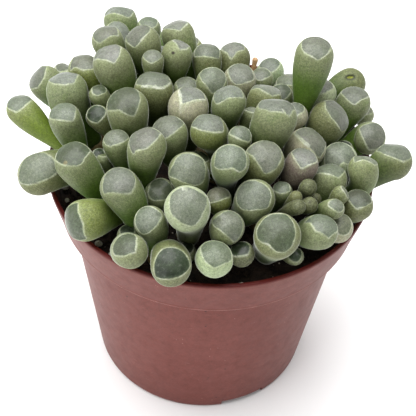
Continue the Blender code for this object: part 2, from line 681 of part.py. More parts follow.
    # --- rosettes
    count = 0
    for gi, members in enumerate(layout["groups"]):
        cx, cy = (float(v) for v in layout["crown"][gi])
        z = float(soil_z(math.hypot(cx, cy)))
        name = "rosette_%02d" % (gi + 1)
        ob = lathe(name, crown_profile(z), CROWN_SIDES, parts, leaf_green)
        apply_modifiers(ob)
        ob.location = (cx * MM, cy * MM, 0.0)
        temp = []
        for i in members:
            bm = bmesh.new()
            h = layout["head"][i]
            wdir = Vector(window_axis(h, float(layout["turn"][i]), float(layout["edge"][i])))
            leaf_bmesh(bm, layout["foot"][i], layout["mid"][i], h, float(layout["rad"][i]),
                      float(layout["size"][i]), wdir)
            lf = mesh_object("leaf_tmp_%d" % i, bm, cutters)
            temp.append(lf)
            boolean(ob, lf, "UNION")
            if not is_closed(ob):
                ob.modifiers[-1].solver = "MANIFOLD"
            apply_modifiers(ob)
        for lf in temp:
            me = lf.data
            bpy.data.objects.remove(lf, do_unlink=True)
            bpy.data.meshes.remove(me)
        smooth(ob, 50.0)
        count += 1

    # --- the origin is the middle of the underside of the whole clump's box
    bpy.context.view_layer.update()
    xy = np.array([(ob.matrix_world @ v.co)[:2] for ob in parts.objects for v in ob.data.vertices])
    ox, oy = (round(float(c), 5) for c in -0.5 * (xy.min(axis=0) + xy.max(axis=0)))
    for ob in list(parts.objects) + list(cutters.objects):
        ob.location.x += ox
        ob.location.y += oy


build()
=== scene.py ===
"""Looks of the potted baby toes: every leaf with its own windowed tip, the
plastic nursery pot, the peat surface with its perlite, floor, light and camera."""
import json
import math

import bmesh
import bpy
import numpy as np
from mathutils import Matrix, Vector, noise

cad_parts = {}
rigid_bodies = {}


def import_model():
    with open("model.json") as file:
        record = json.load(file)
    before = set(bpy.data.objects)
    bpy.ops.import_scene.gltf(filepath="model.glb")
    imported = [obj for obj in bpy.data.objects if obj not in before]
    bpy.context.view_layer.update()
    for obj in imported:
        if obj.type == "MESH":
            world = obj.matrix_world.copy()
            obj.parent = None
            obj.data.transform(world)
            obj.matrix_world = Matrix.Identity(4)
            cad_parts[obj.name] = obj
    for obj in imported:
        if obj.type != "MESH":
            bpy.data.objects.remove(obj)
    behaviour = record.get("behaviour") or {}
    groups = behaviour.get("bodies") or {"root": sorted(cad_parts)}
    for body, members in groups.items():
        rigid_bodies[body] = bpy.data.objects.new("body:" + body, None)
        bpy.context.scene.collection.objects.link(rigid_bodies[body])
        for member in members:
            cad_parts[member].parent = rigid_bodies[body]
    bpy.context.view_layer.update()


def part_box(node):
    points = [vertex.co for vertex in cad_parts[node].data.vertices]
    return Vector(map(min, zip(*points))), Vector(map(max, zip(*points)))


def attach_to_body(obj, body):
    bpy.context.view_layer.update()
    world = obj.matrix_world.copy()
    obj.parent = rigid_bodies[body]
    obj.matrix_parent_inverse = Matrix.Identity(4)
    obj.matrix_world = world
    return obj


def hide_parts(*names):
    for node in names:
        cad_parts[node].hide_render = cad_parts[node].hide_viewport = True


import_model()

MM = 0.001

# ---------------------------------------------------------------- dimensions
# The pot (millimetres; everything is turned into metres when meshes are made)
RIM_R = 32.5            # outside radius of the rim
POT_H = 51.7            # height of the pot
WALL = 1.0              # wall thickness
COLLAR_H = 9.6          # height of the collar band under the rim
COLLAR_R = 30.3         # radius at the lower edge of the collar
BODY_TOP_R = 28.3       # radius of the body just under the collar
BASE_R = 22.5           # radius of the foot
SOIL_DROP = 3.4         # soil surface below the rim at the wall
SOIL_MOUND = 1.4        # how much higher the soil is in the middle

# The layout of the leaf heads is drawn on an oblique plane through the middle
# of the rim.  That plane is seen from an eye point EYE_DIST away.
EYE_DIST = 260.0
EYE_TILT = math.radians(46.17)      # how steeply the plane's normal looks down
EYE_ROLL = math.radians(3.79)
EYE_RISE = 8.95                     # eye's own offset up the plane, mm
EYE_SIDE = 0.62                     # and sideways, mm

GAP = 0.38                          # clearance kept between leaves of different heads
N_ROSETTES = 42


def soil_z(rho):
    """Height of the soil surface above the pot's base at radius rho."""
    return POT_H - SOIL_DROP + SOIL_MOUND * (1.0 - np.minimum(rho / 28.0, 1.0) ** 2)


def plane_axes():
    ce, se = math.cos(EYE_TILT), math.sin(EYE_TILT)
    fwd = np.array([0.0, ce, -se])
    right = np.array([1.0, 0.0, 0.0])
    up = np.array([0.0, se, ce])
    cr, sr = math.cos(EYE_ROLL), math.sin(EYE_ROLL)
    return fwd, cr * right + sr * up, -sr * right + cr * up


FWD, PR, PU = plane_axes()
CENTRE = np.array([0.0, 0.0, POT_H])
EYE = CENTRE - EYE_DIST * FWD - EYE_SIDE * PR - EYE_RISE * PU


def sight(a, b):
    """Unit direction of the sight line through the point (a, b) of the plane."""
    d = CENTRE + a * PR + b * PU - EYE
    return d / np.linalg.norm(d)


def crown_height(x, y):
    """Height of the head centres above the rim over the plan point (x, y)."""
    rho = math.hypot(x, y)
    bump = math.exp(-((x + 15.0) ** 2 + (y - 22.0) ** 2) / (2 * 12.0 ** 2))
    return 14.0 - 11.0 * (rho / 34.0) ** 2.2 + 6.5 * bump


def on_crown(a, b, rise):
    """Point of the sight line through (a, b) that lies on the plant's crown.

    A line that passes over the crown gives the point where it comes closest."""
    d = sight(a, b)
    best = None
    for t in np.arange(215.0, 300.0, 0.25):
        p = EYE + t * d
        if math.hypot(p[0], p[1]) > 39.0 and p[1] > 0:
            break
        f = p[2] - POT_H - crown_height(p[0], p[1]) - rise
        if best is None or f < best[0]:
            best = (f, p)
        if f < 0:
            break
    return best[1]


def at_height(a, b, z):
    """Point of the sight line through (a, b) at the height z."""
    d = sight(a, b)
    return EYE + d * ((z - EYE[2]) / d[2])


# Leaves.  Each row: a, b = place of the head's middle on the oblique plane, mm;
# d = head diameter; rise = mm above the crown's even height; turn = which way
# the window faces on the plane, degrees clockwise from up; edge = how far the
# window's near edge lies past the head's middle, in head radii; neck = a point
# of the plane that the lower part of the leaf passes, where it is not straight
# below the head.
LEAVES = [
    (-17.67,  28.15,  7.0,  -2.0,    0, -0.35, None),
    (-12.90,  26.27,  5.0,  -2.0,    0,  0.00, None),
    ( -7.04,  25.16,  6.9,   0.0,  -12, -0.26, None),
    (-13.79,  23.66,  7.1,   0.0,  -38,  0.00, (-13.2, 18.6)),
    (-19.01,  25.45,  5.5,   3.0,    0, -0.22, None),
    (-20.36,  24.36,  6.4,   3.0,    5, -0.10, None),
    (-20.34,  19.62,  8.0,   2.0,  -15, -0.15, (-18.8, 13.2)),
    (-25.50,  18.19,  6.5,   0.0,    0,  0.00, None),
    (-29.56,  17.49,  3.8,   0.0,    0,  0.00, None),
    (-27.65,  14.82,  8.4,   1.0,    0, -0.33, (-26.6, 10.2)),
    (-33.02,  15.87,  6.8,  -2.0,  -62, -0.23, (-31.0, 11.2)),
    (-29.10,   9.33,  6.5,   0.0,  -10,  0.06, (-27.8, 3.2)),
    (-37.92,  10.74,  6.2,   0.0,   -8,  0.05, (-30.6, 3.0)),
    (-22.90,  13.81,  4.0,  -2.0,    0,  0.10, None),
    (-22.58,   9.54,  4.8,  -2.0,    5,  0.35, None),
    (-16.20,  11.35,  8.4,   1.0,  -20,  0.15, None),
    (-18.74,   4.48,  5.6,   0.0,  -20,  0.20, (-18.0, -1.4)),
    (-27.60,   0.17,  8.0,   0.0,  -35,  0.11, (-23.0, -6.8)),
    (-34.40,  -2.77,  8.6,   0.0,  -15,  0.45, None),
    (-24.59, -12.21,  8.7,   0.0,  -92, -0.23, (-18.2, -11.2)),
    (-18.21,  -5.55,  8.1,   0.0,  -12,  0.30, (-16.0, -11.8)),
    (-22.41,   1.43,  3.2,  -4.0,    0,  0.30, None),
    (-21.38,   0.65,  3.0,  -3.0,    0, -0.60, (-21.4, -3.4)),
    (-12.24,   3.27,  7.9,   2.0,  -25,  0.20, (-11.8, -4.4)),
    ( -8.03,   5.93,  7.6,   0.0,  -30,  0.10, (-7.0, 1.0)),
    ( -0.53,   6.01,  7.4,   0.0,    8,  0.00, None),
    (  5.33,   5.25,  4.9,   0.0,   20,  0.05, None),
    (  9.16,   8.97,  4.2,  -1.0,    0, -0.40, None),
    (-10.77,  14.73,  8.0,   0.0,    3, -0.05, (-10.6, 10.2)),
    (-11.02,  20.15,  4.5,   0.0,    0,  0.15, None),
    ( -6.93,  21.38,  6.3,   0.0,   35, -0.35, (-7.0, 16.6)),
    ( -1.49,  21.05,  6.1,   0.0,   -5,  0.00, None),
    (  4.61,  20.77,  6.9,   0.0,    0, -0.20, None),
    (  6.36,  16.12,  6.8,   0.0,    0,  0.30, None),
    (  9.87,  16.75,  4.8,  -1.0,    0,  0.10, None),
    ( 12.47,  18.00,  5.5,   0.0,  -10,  0.15, None),
    ( 14.64,  15.08,  6.4,   0.0,    0,  0.00, None),
    ( 10.09,  12.08,  7.0,   0.0,   15, -0.28, None),
    ( 12.89,  13.38,  5.0,  -2.0,    0,  0.30, None),
    ( 20.61,  21.21,  8.1,  10.0,    5,  0.00, (18.4, 10.2)),
    ( 22.19,  13.77,  6.0,   3.0,    3,  0.00, None),
    ( 27.62,  15.63,  6.2,   0.0,    0,  0.00, None),
    ( 28.88,  11.48,  6.8,   0.0,    5,  0.05, (28.2, 5.0)),
    ( 23.17,   8.43,  8.2,   2.0,   60, -0.12, (21.4, 4.6)),
    ( 30.09,   8.86,  4.3,  -2.0,   10,  0.00, None),
    ( 30.47,   3.91,  6.8,   0.0,   65,  0.28, None),
    ( 34.85,  -1.46,  7.7,   0.0,   20, -0.05, (32.2, -5.0)),
    ( 29.05,  -1.49,  6.1,   0.0,   20, -0.20, (29.0, -5.4)),
    ( 26.09,  -0.35,  7.6,   0.0,   -8,  0.25, None),
    ( 24.08,  -3.50,  7.3,   0.0,   12, -0.20, (24.6, -8.4)),
    ( 25.40,  -6.31,  3.6,  -1.0,   60, -0.50, None),
    ( 28.76,  -7.94,  6.4,   0.0,   15,  0.05, None),
    ( 18.65,   2.74,  8.4,   0.0,   35,  0.05, None),
    ( 17.66,  -0.44,  6.9,   0.0,    3,  0.10, (16.8, -5.4)),
    ( 10.36,   0.57,  8.5,   0.0,    5,  0.25, None),
    (  4.07,  -0.05,  7.4,   0.0,    0,  0.38, None),
    ( -3.40,  -1.88,  8.1,   0.0,  -15,  0.42, None),
    ( -2.40,   0.35,  6.2,  -1.0,    0,  0.00, None),
    ( -5.30,  -9.64,  9.3,   1.0,    8,  0.62, None),
    (-10.73,  -6.09,  6.6,  -1.0,    0,  0.50, None),
    (-12.31, -11.85,  6.7,   0.0,  -25,  0.42, (-10.2, -17.0)),
    (  2.14,  -7.14,  5.3,  -1.0,  -10,  0.05, None),
    (  2.41, -12.21,  7.1,   0.0,   20,  0.48, None),
    (  8.81,  -6.78,  8.1,   0.0,    0,  0.50, None),
    ( 14.38,  -5.80,  4.2,  -1.0,    0, -0.05, (14.4, -9.8)),
    ( 19.18,  -4.83,  3.5,   0.0,    0, -0.50, None),
    ( 17.86,  -7.20,  2.6,   0.0,    0, -0.50, None),
    ( 20.96,  -7.68,  2.6,   0.0,    0, -0.50, None),
    ( 17.60,  -8.33,  3.1,   0.0,    0, -0.50, None),
    ( 20.36,  -8.24,  3.4,   0.0,    0, -0.50, None),
    ( 24.56,  -9.73,  4.1,   0.0,   30,  0.20, (22.8, -10.8)),
    ( 21.52, -13.23,  7.3,   0.0,   35,  0.10, None),
    ( 12.78, -14.04,  9.5,   1.0,    5,  0.66, None),
    ( 16.73, -18.59,  3.8,  -1.0,    0,  0.60, None),
    ( 25.30, -13.06,  6.1,  -1.0,   30,  0.40, None),
    (  7.04, -17.23,  5.2,  -2.0,  -20,  0.20, None),
    (  1.05, -18.55,  7.6,   0.0,    0,  0.42, None),
    ( -8.56, -20.66,  8.4,   0.0,   20,  0.60, None),
    (-15.16, -17.09,  7.2,   0.0,  -20,  0.15, None),
    (-16.80, -14.43,  4.2,  -2.0,    0,  0.30, None),
    ( -6.16, -18.28,  4.2,  -3.0,    0,  0.00, None),
    ( 27.51,   2.27,  4.0,  -3.0,    0,  0.30, None),
    ( -4.04,  14.90,  5.7,   0.0,    0,  0.30, None),
    ( -4.30,  11.25,  8.4,   0.0,   15,  0.00, None),
    (  0.10,  15.61,  6.5,   0.0,   45,  0.35, None),
    (  3.83,  12.00,  6.8,   0.0,   -3, -0.15, (3.6, 7.2)),
    ( 12.46,   8.00,  8.9,   0.0,   10, -0.28, (13.2, 3.8)),
    ( 17.29,   8.96,  5.4,   0.0,  -10,  0.10, None),
]

# The dry flower stalk left standing among the leaves at the back is laid out
# like a leaf of 1.2 mm.
LEAVES.append((8.7, 20.6, 1.2, 1.5, 0, 0.0, None))

# Leaves on the far side and between the others.  Each row: x, y in plan, mm,
# height of the head above the rim, head diameter, window turn.
FAR_LEAVES = [
    (-27.0, 20.5, 2.0, 7.0, -45),
    (-16.0, 30.0, 3.5, 7.4, -20),
    (-7.5, 29.5, 4.0, 7.0, -8),
    (3.0, 26.5, 3.6, 7.2, 5),
    (-13.0, 25.0, 6.0, 6.6, -10),
    (11.5, 23.0, 2.6, 6.6, 20),
    (19.5, 21.5, 0.6, 6.0, 35),
    (-22.5, 20.5, 5.5, 6.6, -30),
    (-2.5, 22.5, 8.0, 6.8, 0),
]


def shape_of(x):
    """Leaf radius x head radii below the head's middle, as a share of the head radius."""
    s = np.clip((x - 0.15) / 3.7, 0.0, 1.0)
    return 0.36 + 0.64 * (1.0 - s * s * (3.0 - 2.0 * s))


def lengths(foot, mid, head):
    """Approximate length of each leaf's curve."""
    chord = np.linalg.norm(head - foot, axis=1)
    net = np.linalg.norm(head - mid, axis=1) + np.linalg.norm(mid - foot, axis=1)
    return (2 * chord + net) / 3


def bez(t):
    return np.stack([(1 - t) ** 2, 2 * t * (1 - t), t ** 2], -1)


def plan_leaves():
    """First positions of every head, and the rosette each leaf grows from."""
    head, rad, ray, via, turn, edge = [], [], [], [], [], []
    for a, b, d, rise, tu, ed, neck in LEAVES:
        h = on_crown(a, b, rise)
        head.append(h)
        rad.append(0.98 * d / 2 * float((h - EYE) @ FWD) / EYE_DIST)
        ray.append(sight(a, b))
        via.append(None if neck is None else at_height(neck[0], neck[1], 0.55 * h[2] + 0.45 * (POT_H - 2)))
        turn.append(tu)
        edge.append(ed)
    for x, y, z, d, tu in FAR_LEAVES:
        h = np.array([x, y, POT_H + z])
        head.append(h)
        rad.append(d / 2)
        r = h - EYE
        ray.append(r / np.linalg.norm(r))
        via.append(None)
        turn.append(tu)
        edge.append(-0.2)
    head, rad, ray = np.array(head), np.array(rad), np.array(ray)
    n = len(head)
    # where each leaf enters the soil: drawn in towards the pot's axis
    foot = np.zeros((n, 2))
    for i in range(n):
        p = head[i, :2].copy()
        if via[i] is not None:
            p = head[i, :2] + 1.7 * (via[i][:2] - head[i, :2])
        rho = math.hypot(*p)
        k = 0.74 if via[i] is None else 0.86
        lim = 24.5
        foot[i] = p * min(k, lim / max(rho, 1e-6))
    # leaves that stand together share a rosette, at most four to each
    groups = [[i] for i in range(n)]
    cen = [foot[i].copy() for i in range(n)]
    while len(groups) > N_ROSETTES:
        best = None
        for i in range(len(groups)):
            for j in range(i + 1, len(groups)):
                if len(groups[i]) + len(groups[j]) > 4:
                    continue
                dd = float(np.hypot(*(cen[i] - cen[j]))) + 0.9 * (len(groups[i]) + len(groups[j]))
                if best is None or dd < best[0]:
                    best = (dd, i, j)
        if best is None:
            break
        _, i, j = best
        groups[i] = groups[i] + groups[j]
        cen[i] = foot[groups[i]].mean(axis=0)
        del groups[j], cen[j]
    order = sorted(range(len(groups)), key=lambda g: (-round(float(cen[g][1]), 3), float(cen[g][0])))
    groups = [sorted(groups[g]) for g in order]
    cen = np.array([cen[g] for g in order])
    return head, rad, ray, via, turn, edge, groups, cen


TS = np.array([0.05, 0.16, 0.28, 0.40, 0.51, 0.61, 0.70, 0.78, 0.85, 0.92, 1.0])


def settle(steps=520):
    """Let the leaves push each other apart for a fixed number of steps; the largest overlap left is returned as worst.
    """
    head, rad, ray, via, turn, edge, groups, cen = plan_leaves()
    n = len(head)
    gid = np.zeros(n, int)
    for g, mem in enumerate(groups):
        gid[mem] = g
    target = head.copy()
    crown = cen.copy()
    crown0 = cen.copy()
    W = bez(TS)                                   # (m, 3)
    m = len(TS)
    def feet(crown, head):
        c = crown[gid]
        d = head[:, :2] - c
        l = np.maximum(np.hypot(d[:, 0], d[:, 1]), 1e-6)[:, None]
        f = c + d / l * np.minimum(1.0, l)
        return np.column_stack([f, soil_z(np.hypot(f[:, 0], f[:, 1])) + 1.6])

    def rest_mid(foot, head):
        m0 = np.column_stack([0.62 * foot[:, :2] + 0.38 * head[:, :2], 0.45 * foot[:, 2] + 0.55 * head[:, 2]])
        for i in range(n):
            if via[i] is not None:
                m0[i] = 0.35 * m0[i] + 0.65 * via[i]
        return m0

    foot = feet(crown, head)
    mid = rest_mid(foot, head)
    size = lengths(foot, mid, head) / rad
    rr = np.maximum(rad[:, None] * shape_of(size[:, None] * (1 - TS[None, :])), 0.5)     # (n, m)
    lf = np.repeat(np.arange(n), m)
    st = np.tile(np.arange(m), n)
    rs = rr.reshape(-1)
    nc = len(crown)
    lfa = np.concatenate([lf, n + np.arange(nc)])
    ga = np.concatenate([gid[lf], np.arange(nc)])
    rs_all = np.concatenate([rs, np.full(nc, 2.7)])
    low = np.concatenate([TS[st] < 0.55, np.ones(nc, bool)])
    same = ga[:, None] == ga[None, :]
    own = lfa[:, None] == lfa[None, :]
    skip = own | (same & (low[:, None] | low[None, :]))
    skip[n * m:, n * m:] = True
    need = rs_all[:, None] + rs_all[None, :] + np.where(same, 0.12, GAP)
    w = W[st]                                     # (nm, 3)
    lip_r, lip_z = RIM_R - 0.5, POT_H
    for it in range(steps):
        P = np.stack([foot, mid, head], 1)        # (n,3,3)
        S = np.einsum('mk,nkc->nmc', W, P).reshape(-1, 3)
        cz = soil_z(np.hypot(crown[:, 0], crown[:, 1])) + 1.0
        S = np.concatenate([S, np.column_stack([crown, cz])])
        if it % 12 == 0:
            D = ((S[:, None, :] - S[None, :, :]) ** 2).sum(-1)
            ok = (D < (need + 3.0) ** 2) & ~skip
            ia, ib = np.nonzero(np.triu(ok, 1))
            nd = need[ia, ib]
        D = S[ia] - S[ib]
        dist = np.sqrt((D ** 2).sum(-1)) + 1e-9
        over = np.maximum(nd - dist, 0.0)
        half = D * (0.5 * over / dist)[:, None]
        push = np.stack([np.bincount(ia, half[:, k], len(S)) - np.bincount(ib, half[:, k], len(S)) for k in range(3)], 1)
        act0 = (over > 0).astype(float)
        hit = np.bincount(ia, act0, len(S)) + np.bincount(ib, act0, len(S))
        crown_push = push[n * m:, :2] / np.sqrt(np.maximum(hit[n * m:], 1))[:, None]
        S, push, hit = S[:n * m], push[:n * m], hit[:n * m]
        # the pot's lip and wall, and the soil
        rho = np.hypot(S[:, 0], S[:, 1]) + 1e-9
        er = S[:, :2] / rho[:, None]
        dr, dz = rho - lip_r, S[:, 2] - lip_z
        dl = np.sqrt(dr ** 2 + dz ** 2) + 1e-9
        o = np.maximum(rs + 0.55 + 0.35 - dl, 0)
        push[:, 0] += er[:, 0] * dr / dl * o
        push[:, 1] += er[:, 1] * dr / dl * o
        push[:, 2] += dz / dl * o
        inside = S[:, 2] < lip_z
        o2 = np.where(inside, np.maximum(rho + rs - (RIM_R - WALL - 0.7), 0), 0)
        push[:, 0] -= er[:, 0] * o2
        push[:, 1] -= er[:, 1] * o2
        o3 = np.where(TS[st] > 0.3, np.maximum(soil_z(rho) + 0.35 + rs - S[:, 2], 0), 0)
        o3 = np.where(rho > lip_r, 0, o3)
        push[:, 2] += o3
        act = (hit > 0) | (o > 0) | (o2 > 0) | (o3 > 0)
        cnt = np.maximum(hit, 1)
        push = push / np.sqrt(cnt)[:, None]
        dP = np.einsum('mk,nmc->nkc', W, push.reshape(n, m, 3))
        nw = act.reshape(n, m).astype(float) @ W
        dP /= np.maximum(nw, 0.6)[..., None]
        lim = 0.6
        dP = np.clip(dP * 1.5, -lim, lim)
        head = head + dP[:, 2]
        mid = mid + dP[:, 1]
        cd = np.zeros_like(crown)
        cn = np.zeros(len(crown))
        np.add.at(cd, gid, dP[:, 0, :2])
        np.add.at(cn, gid, 1.0)
        crown = crown + cd / cn[:, None] + crown_push
        # crowns keep apart and stay inside the pot
        C = crown[:, None] - crown[None]
        cdist = np.sqrt((C ** 2).sum(-1)) + 1e-9
        co = np.maximum(6.7 - cdist, 0)
        np.fill_diagonal(co, 0)
        crown = crown + (C / cdist[..., None] * (0.5 * co)[..., None]).sum(1)
        cr = np.hypot(crown[:, 0], crown[:, 1])
        crown = crown * np.minimum(1.0, 25.6 / np.maximum(cr, 1e-6))[:, None]
        # ease back to the drawn places, firmly across the sight line and
        # loosely along it; nothing eases back in the last steps
        ease = 1.0 if it < steps * 0.75 else max(0.0, 1.0 - (it - steps * 0.75) / (steps * 0.12))
        e = target - head
        along = (e * ray).sum(1, keepdims=True) * ray
        head = head + ease * (0.25 * (e - along) + 0.012 * along)
        foot = feet(crown, head)
        mid = mid + ease * 0.05 * (rest_mid(foot, head) - mid)
        crown = crown + ease * 0.02 * (crown0 - crown)
    worst = float(over.max())
    return dict(head=head, mid=mid, foot=foot, rad=rad, size=size, crown=crown, groups=groups, gid=gid,
                turn=np.array(turn, float), edge=np.array(edge), target=target, ray=ray, worst=worst, over=over, pairs=(ia, ib), lf=lfa, st=np.concatenate([st, np.full(nc, -1)]))


def window_axis(h, turn, edge, alpha=math.radians(52)):
    """Outward direction of a head's window."""
    v = EYE - h
    v /= np.linalg.norm(v)
    r = np.cross(PU, v)
    r /= np.linalg.norm(r)
    u = np.cross(v, r)
    phi = alpha - math.asin(max(-0.9, min(0.9, edge)))
    phi = max(0.0, min(phi, math.radians(80)))
    t = math.radians(turn)
    return math.cos(phi) * v + math.sin(phi) * (math.sin(t) * r + math.cos(t) * u)


# Pale window edges as drawn on each head: points across and up, in head radii,
# from the middle of the head, as seen along the layout's sight line.
EDGES = {
    0: [(-1.00, 0.23), (-0.43, 0.46), (0.49, 0.17), (0.89, 0.63)],
    2: [(-1.10, 0.40), (0.12, 0.26), (0.64, 0.81)],
    3: [(-0.99, 0.11), (-0.42, -0.28), (0.37, 0.62), (0.48, 0.96)],
    4: [(-1.02, 0.07), (-0.44, 0.15), (0.15, -0.07), (0.58, -0.51), (0.95, -0.15)],
    5: [(-0.94, 0.31), (-0.62, -0.12), (-0.38, -0.12), (0.19, 0.31), (0.69, 0.31)],
    6: [(-0.95, 0.15), (-0.80, 0.25), (-0.30, 0.20), (0.10, 0.05), (0.30, 0.35), (0.40, 0.75)],
    7: [(-0.86, -0.06), (-0.49, 0.18), (-0.12, 0.00), (0.49, 0.06), (0.92, 0.31)],
    9: [(-0.93, 0.52), (-0.64, 0.38), (-0.21, 0.33), (0.31, 0.38), (0.50, 0.81)],
    10: [(0.06, 0.94), (-0.12, 0.29), (-0.47, -0.29), (-0.82, -0.35)],
    11: [(-0.95, 0.06), (-0.34, -0.06), (0.46, -0.12), (0.64, 0.49), (0.71, 0.80)],
    12: [(-0.87, 0.10), (-0.35, -0.16), (-0.10, -0.03), (0.74, 0.68)],
    14: [(-0.92, 0.00), (-0.50, -0.42), (0.00, -0.50), (0.58, 0.08)],
    15: [(-0.98, -0.12), (-0.40, -0.07), (0.07, -0.31), (0.31, -0.40), (0.45, -0.12), (0.60, 0.50)],
    16: [(-0.93, 0.14), (-0.43, -0.29), (-0.29, -0.14), (0.21, -0.07), (0.93, 0.43)],
    17: [(-0.95, 0.10), (-0.55, -0.15), (0.05, -0.20), (0.35, -0.10), (0.50, 0.20), (0.80, 0.60)],
    18: [(-0.86, -0.37), (-0.40, -0.47), (0.07, -0.33), (0.53, -0.14), (0.81, 0.14)],
    19: [(-0.32, 0.83), (-0.28, 0.28), (-0.09, -0.18), (-0.05, -0.64), (0.09, -0.87)],
    20: [(-0.79, -0.34), (-0.44, -0.25), (0.54, -0.30), (0.69, -0.05), (0.74, 0.44), (0.54, 0.84)],
    23: [(-0.71, -0.40), (-0.61, -0.20), (-0.05, -0.10), (0.35, 0.25), (0.71, 0.71)],
    24: [(-0.74, -0.32), (-0.16, -0.21), (0.26, 0.11), (0.79, 0.58)],
    25: [(-0.95, 0.32), (-0.46, 0.11), (0.24, -0.05), (0.84, 0.00)],
    26: [(-0.90, 0.33), (0.08, -0.16), (0.74, -0.41)],
    28: [(-0.90, 0.28), (-0.25, 0.12), (0.50, 0.07), (0.85, 0.38)],
    29: [(-0.93, 0.35), (-0.13, -0.27), (0.84, 0.35)],
    30: [(-0.19, 0.89), (0.19, 0.32), (0.64, 0.38), (0.89, 0.64)],
    31: [(-0.86, 0.07), (-0.07, 0.10), (0.79, -0.07), (0.86, 0.59)],
    32: [(-0.93, 0.70), (-0.64, 0.47), (-0.35, 0.29), (-0.17, -0.06), (0.17, 0.41), (0.58, 0.52)],
    33: [(-0.71, 0.65), (-0.47, -0.06), (-0.18, -0.29), (0.88, 0.06)],
    36: [(-0.88, 0.12), (0.00, 0.19), (0.81, 0.06)],
    37: [(-0.86, 0.51), (-0.40, 0.63), (0.17, 0.34), (0.46, 0.17)],
    39: [(-0.64, 0.74), (-0.59, 0.35), (-0.35, 0.10), (0.00, -0.05), (0.20, -0.20), (0.79, 0.30)],
    40: [(-0.67, 0.60), (-0.27, 0.07), (0.20, 0.00), (0.80, 0.40)],
    42: [(-0.76, 0.65), (-0.18, 0.06), (0.06, -0.09), (0.41, 0.18), (0.94, 0.41)],
    43: [(-0.19, 1.09), (-0.15, 0.61), (0.10, 0.17), (0.58, -0.46), (0.68, -0.61)],
    45: [(-0.59, 0.59), (-0.29, -0.12), (0.00, -0.71)],
    46: [(-0.78, 0.47), (-0.26, 0.26), (0.52, -0.05)],
    47: [(-0.53, 0.39), (0.00, 0.59), (0.79, 0.20)],
    48: [(-0.68, -0.37), (-0.26, -0.47), (0.21, -0.11), (0.58, -0.26), (0.89, -0.26)],
    49: [(-0.82, 0.33), (-0.60, 0.38), (-0.05, 0.33), (0.49, 0.11), (0.82, 0.44)],
    51: [(-0.72, 0.62), (-0.09, -0.25), (0.53, -0.06), (0.84, 0.19)],
    52: [(-0.57, 0.67), (-0.24, 0.33), (0.24, -0.05), (0.62, -0.52)],
    53: [(-0.58, 0.75), (-0.29, 0.17), (0.00, -0.23), (0.40, 0.00), (0.98, 0.23)],
    54: [(-0.89, 0.49), (-0.52, 0.26), (-0.23, -0.12), (0.05, -0.59), (0.42, -0.45), (0.80, 0.02)],
    55: [(-0.89, -0.25), (-0.56, -0.36), (0.08, -0.31), (0.51, -0.52), (0.83, -0.20)],
    56: [(-0.97, -0.17), (-0.57, -0.37), (-0.07, -0.57), (0.42, -0.67), (0.72, -0.57), (0.82, 0.37), (0.87, 0.72)],
    58: [(-0.64, 0.67), (-0.69, -0.19), (-0.39, -0.49), (0.13, -0.75), (0.34, -0.71), (0.69, -0.19), (0.86, 0.45)],
    60: [(-0.45, -0.76), (-0.03, -0.58), (0.45, -0.16), (0.74, 0.43)],
    61: [(-0.83, -0.26), (-0.08, -0.11), (0.90, 0.26)],
    62: [(-0.90, 0.28), (-0.34, -0.22), (0.11, -0.56), (0.45, -0.90)],
    63: [(-0.89, 0.35), (-0.89, -0.25), (-0.64, -0.54), (0.00, -0.54), (0.64, -0.45), (0.79, 0.10)],
    64: [(-0.86, 0.14), (-0.10, -0.24), (0.76, 0.05)],
    71: [(-0.87, 0.49), (-0.49, 0.49), (-0.22, 0.05), (0.16, -0.11), (0.49, -0.33)],
    72: [(-0.88, 0.17), (-0.80, -0.17), (-0.34, -0.38), (-0.04, -0.67), (0.29, -0.71), (0.59, -0.46), (0.76, 0.17), (0.59, 0.67), (0.38, 0.88)],
    76: [(-0.71, 0.37), (-0.45, -0.16), (0.03, -0.47), (0.55, -0.21), (0.92, -0.05)],
    77: [(-0.45, 0.79), (-0.79, 0.21), (-0.74, -0.50), (0.02, -0.60), (0.50, -0.45), (0.93, 0.02)],
    78: [(-0.83, -0.22), (-0.39, -0.28), (0.06, -0.11), (0.28, -0.06), (0.33, 0.56)],
    83: [(-0.45, 0.69), (-0.31, 0.12), (0.26, 0.31), (0.83, 0.36)],
    84: [(-0.99, 0.71), (-0.37, -0.09), (0.06, -0.65)],
    85: [(-0.96, 0.21), (-0.72, -0.15), (-0.02, 0.21), (0.86, 0.21)],
    86: [(-0.76, 0.45), (-0.22, 0.31), (0.36, 0.27), (0.63, 0.09), (0.81, 0.36)],
}

# The look of each leaf, in the order of LEAVES:
#   first letter, the window: g grey green, l light, m mint, p pinkish grey, d dark, k blackish; d and k are painted
#       shade for heads that sit low in shadow among the others
#   second letter, the side: g green, y yellow green, b bloomed blue green, e grey, p pink grey,
#                  v violet, w whitish, t tan, s brownish sheath grey
KINDS = """
lg mg lg gg ly gg lg gy gg lg
gg mg my dg ke dg gg dg me dy
gg kg yg gg gg ly mg mg ge mg
lg ge le gp gg gw mg le dg gg
gw le gg ge eg gg me mg mw mg
ee se gp lv ge mg mg dg mw dg
mg ey mg mg mg ss se ss ss ss
mg mg de ks ep ks mw ke dg kg
kg kg mg lp mg lg lg gp tt
""".split()

# ---------------------------------------------------------------- helpers
def lin(r, g, b):
    """Colour given as 0-255 display values, as linear light."""
    out = []
    for c in (r, g, b):
        c /= 255.0
        out.append(c / 12.92 if c <= 0.04045 else ((c + 0.055) / 1.055) ** 2.4)
    return tuple(out)
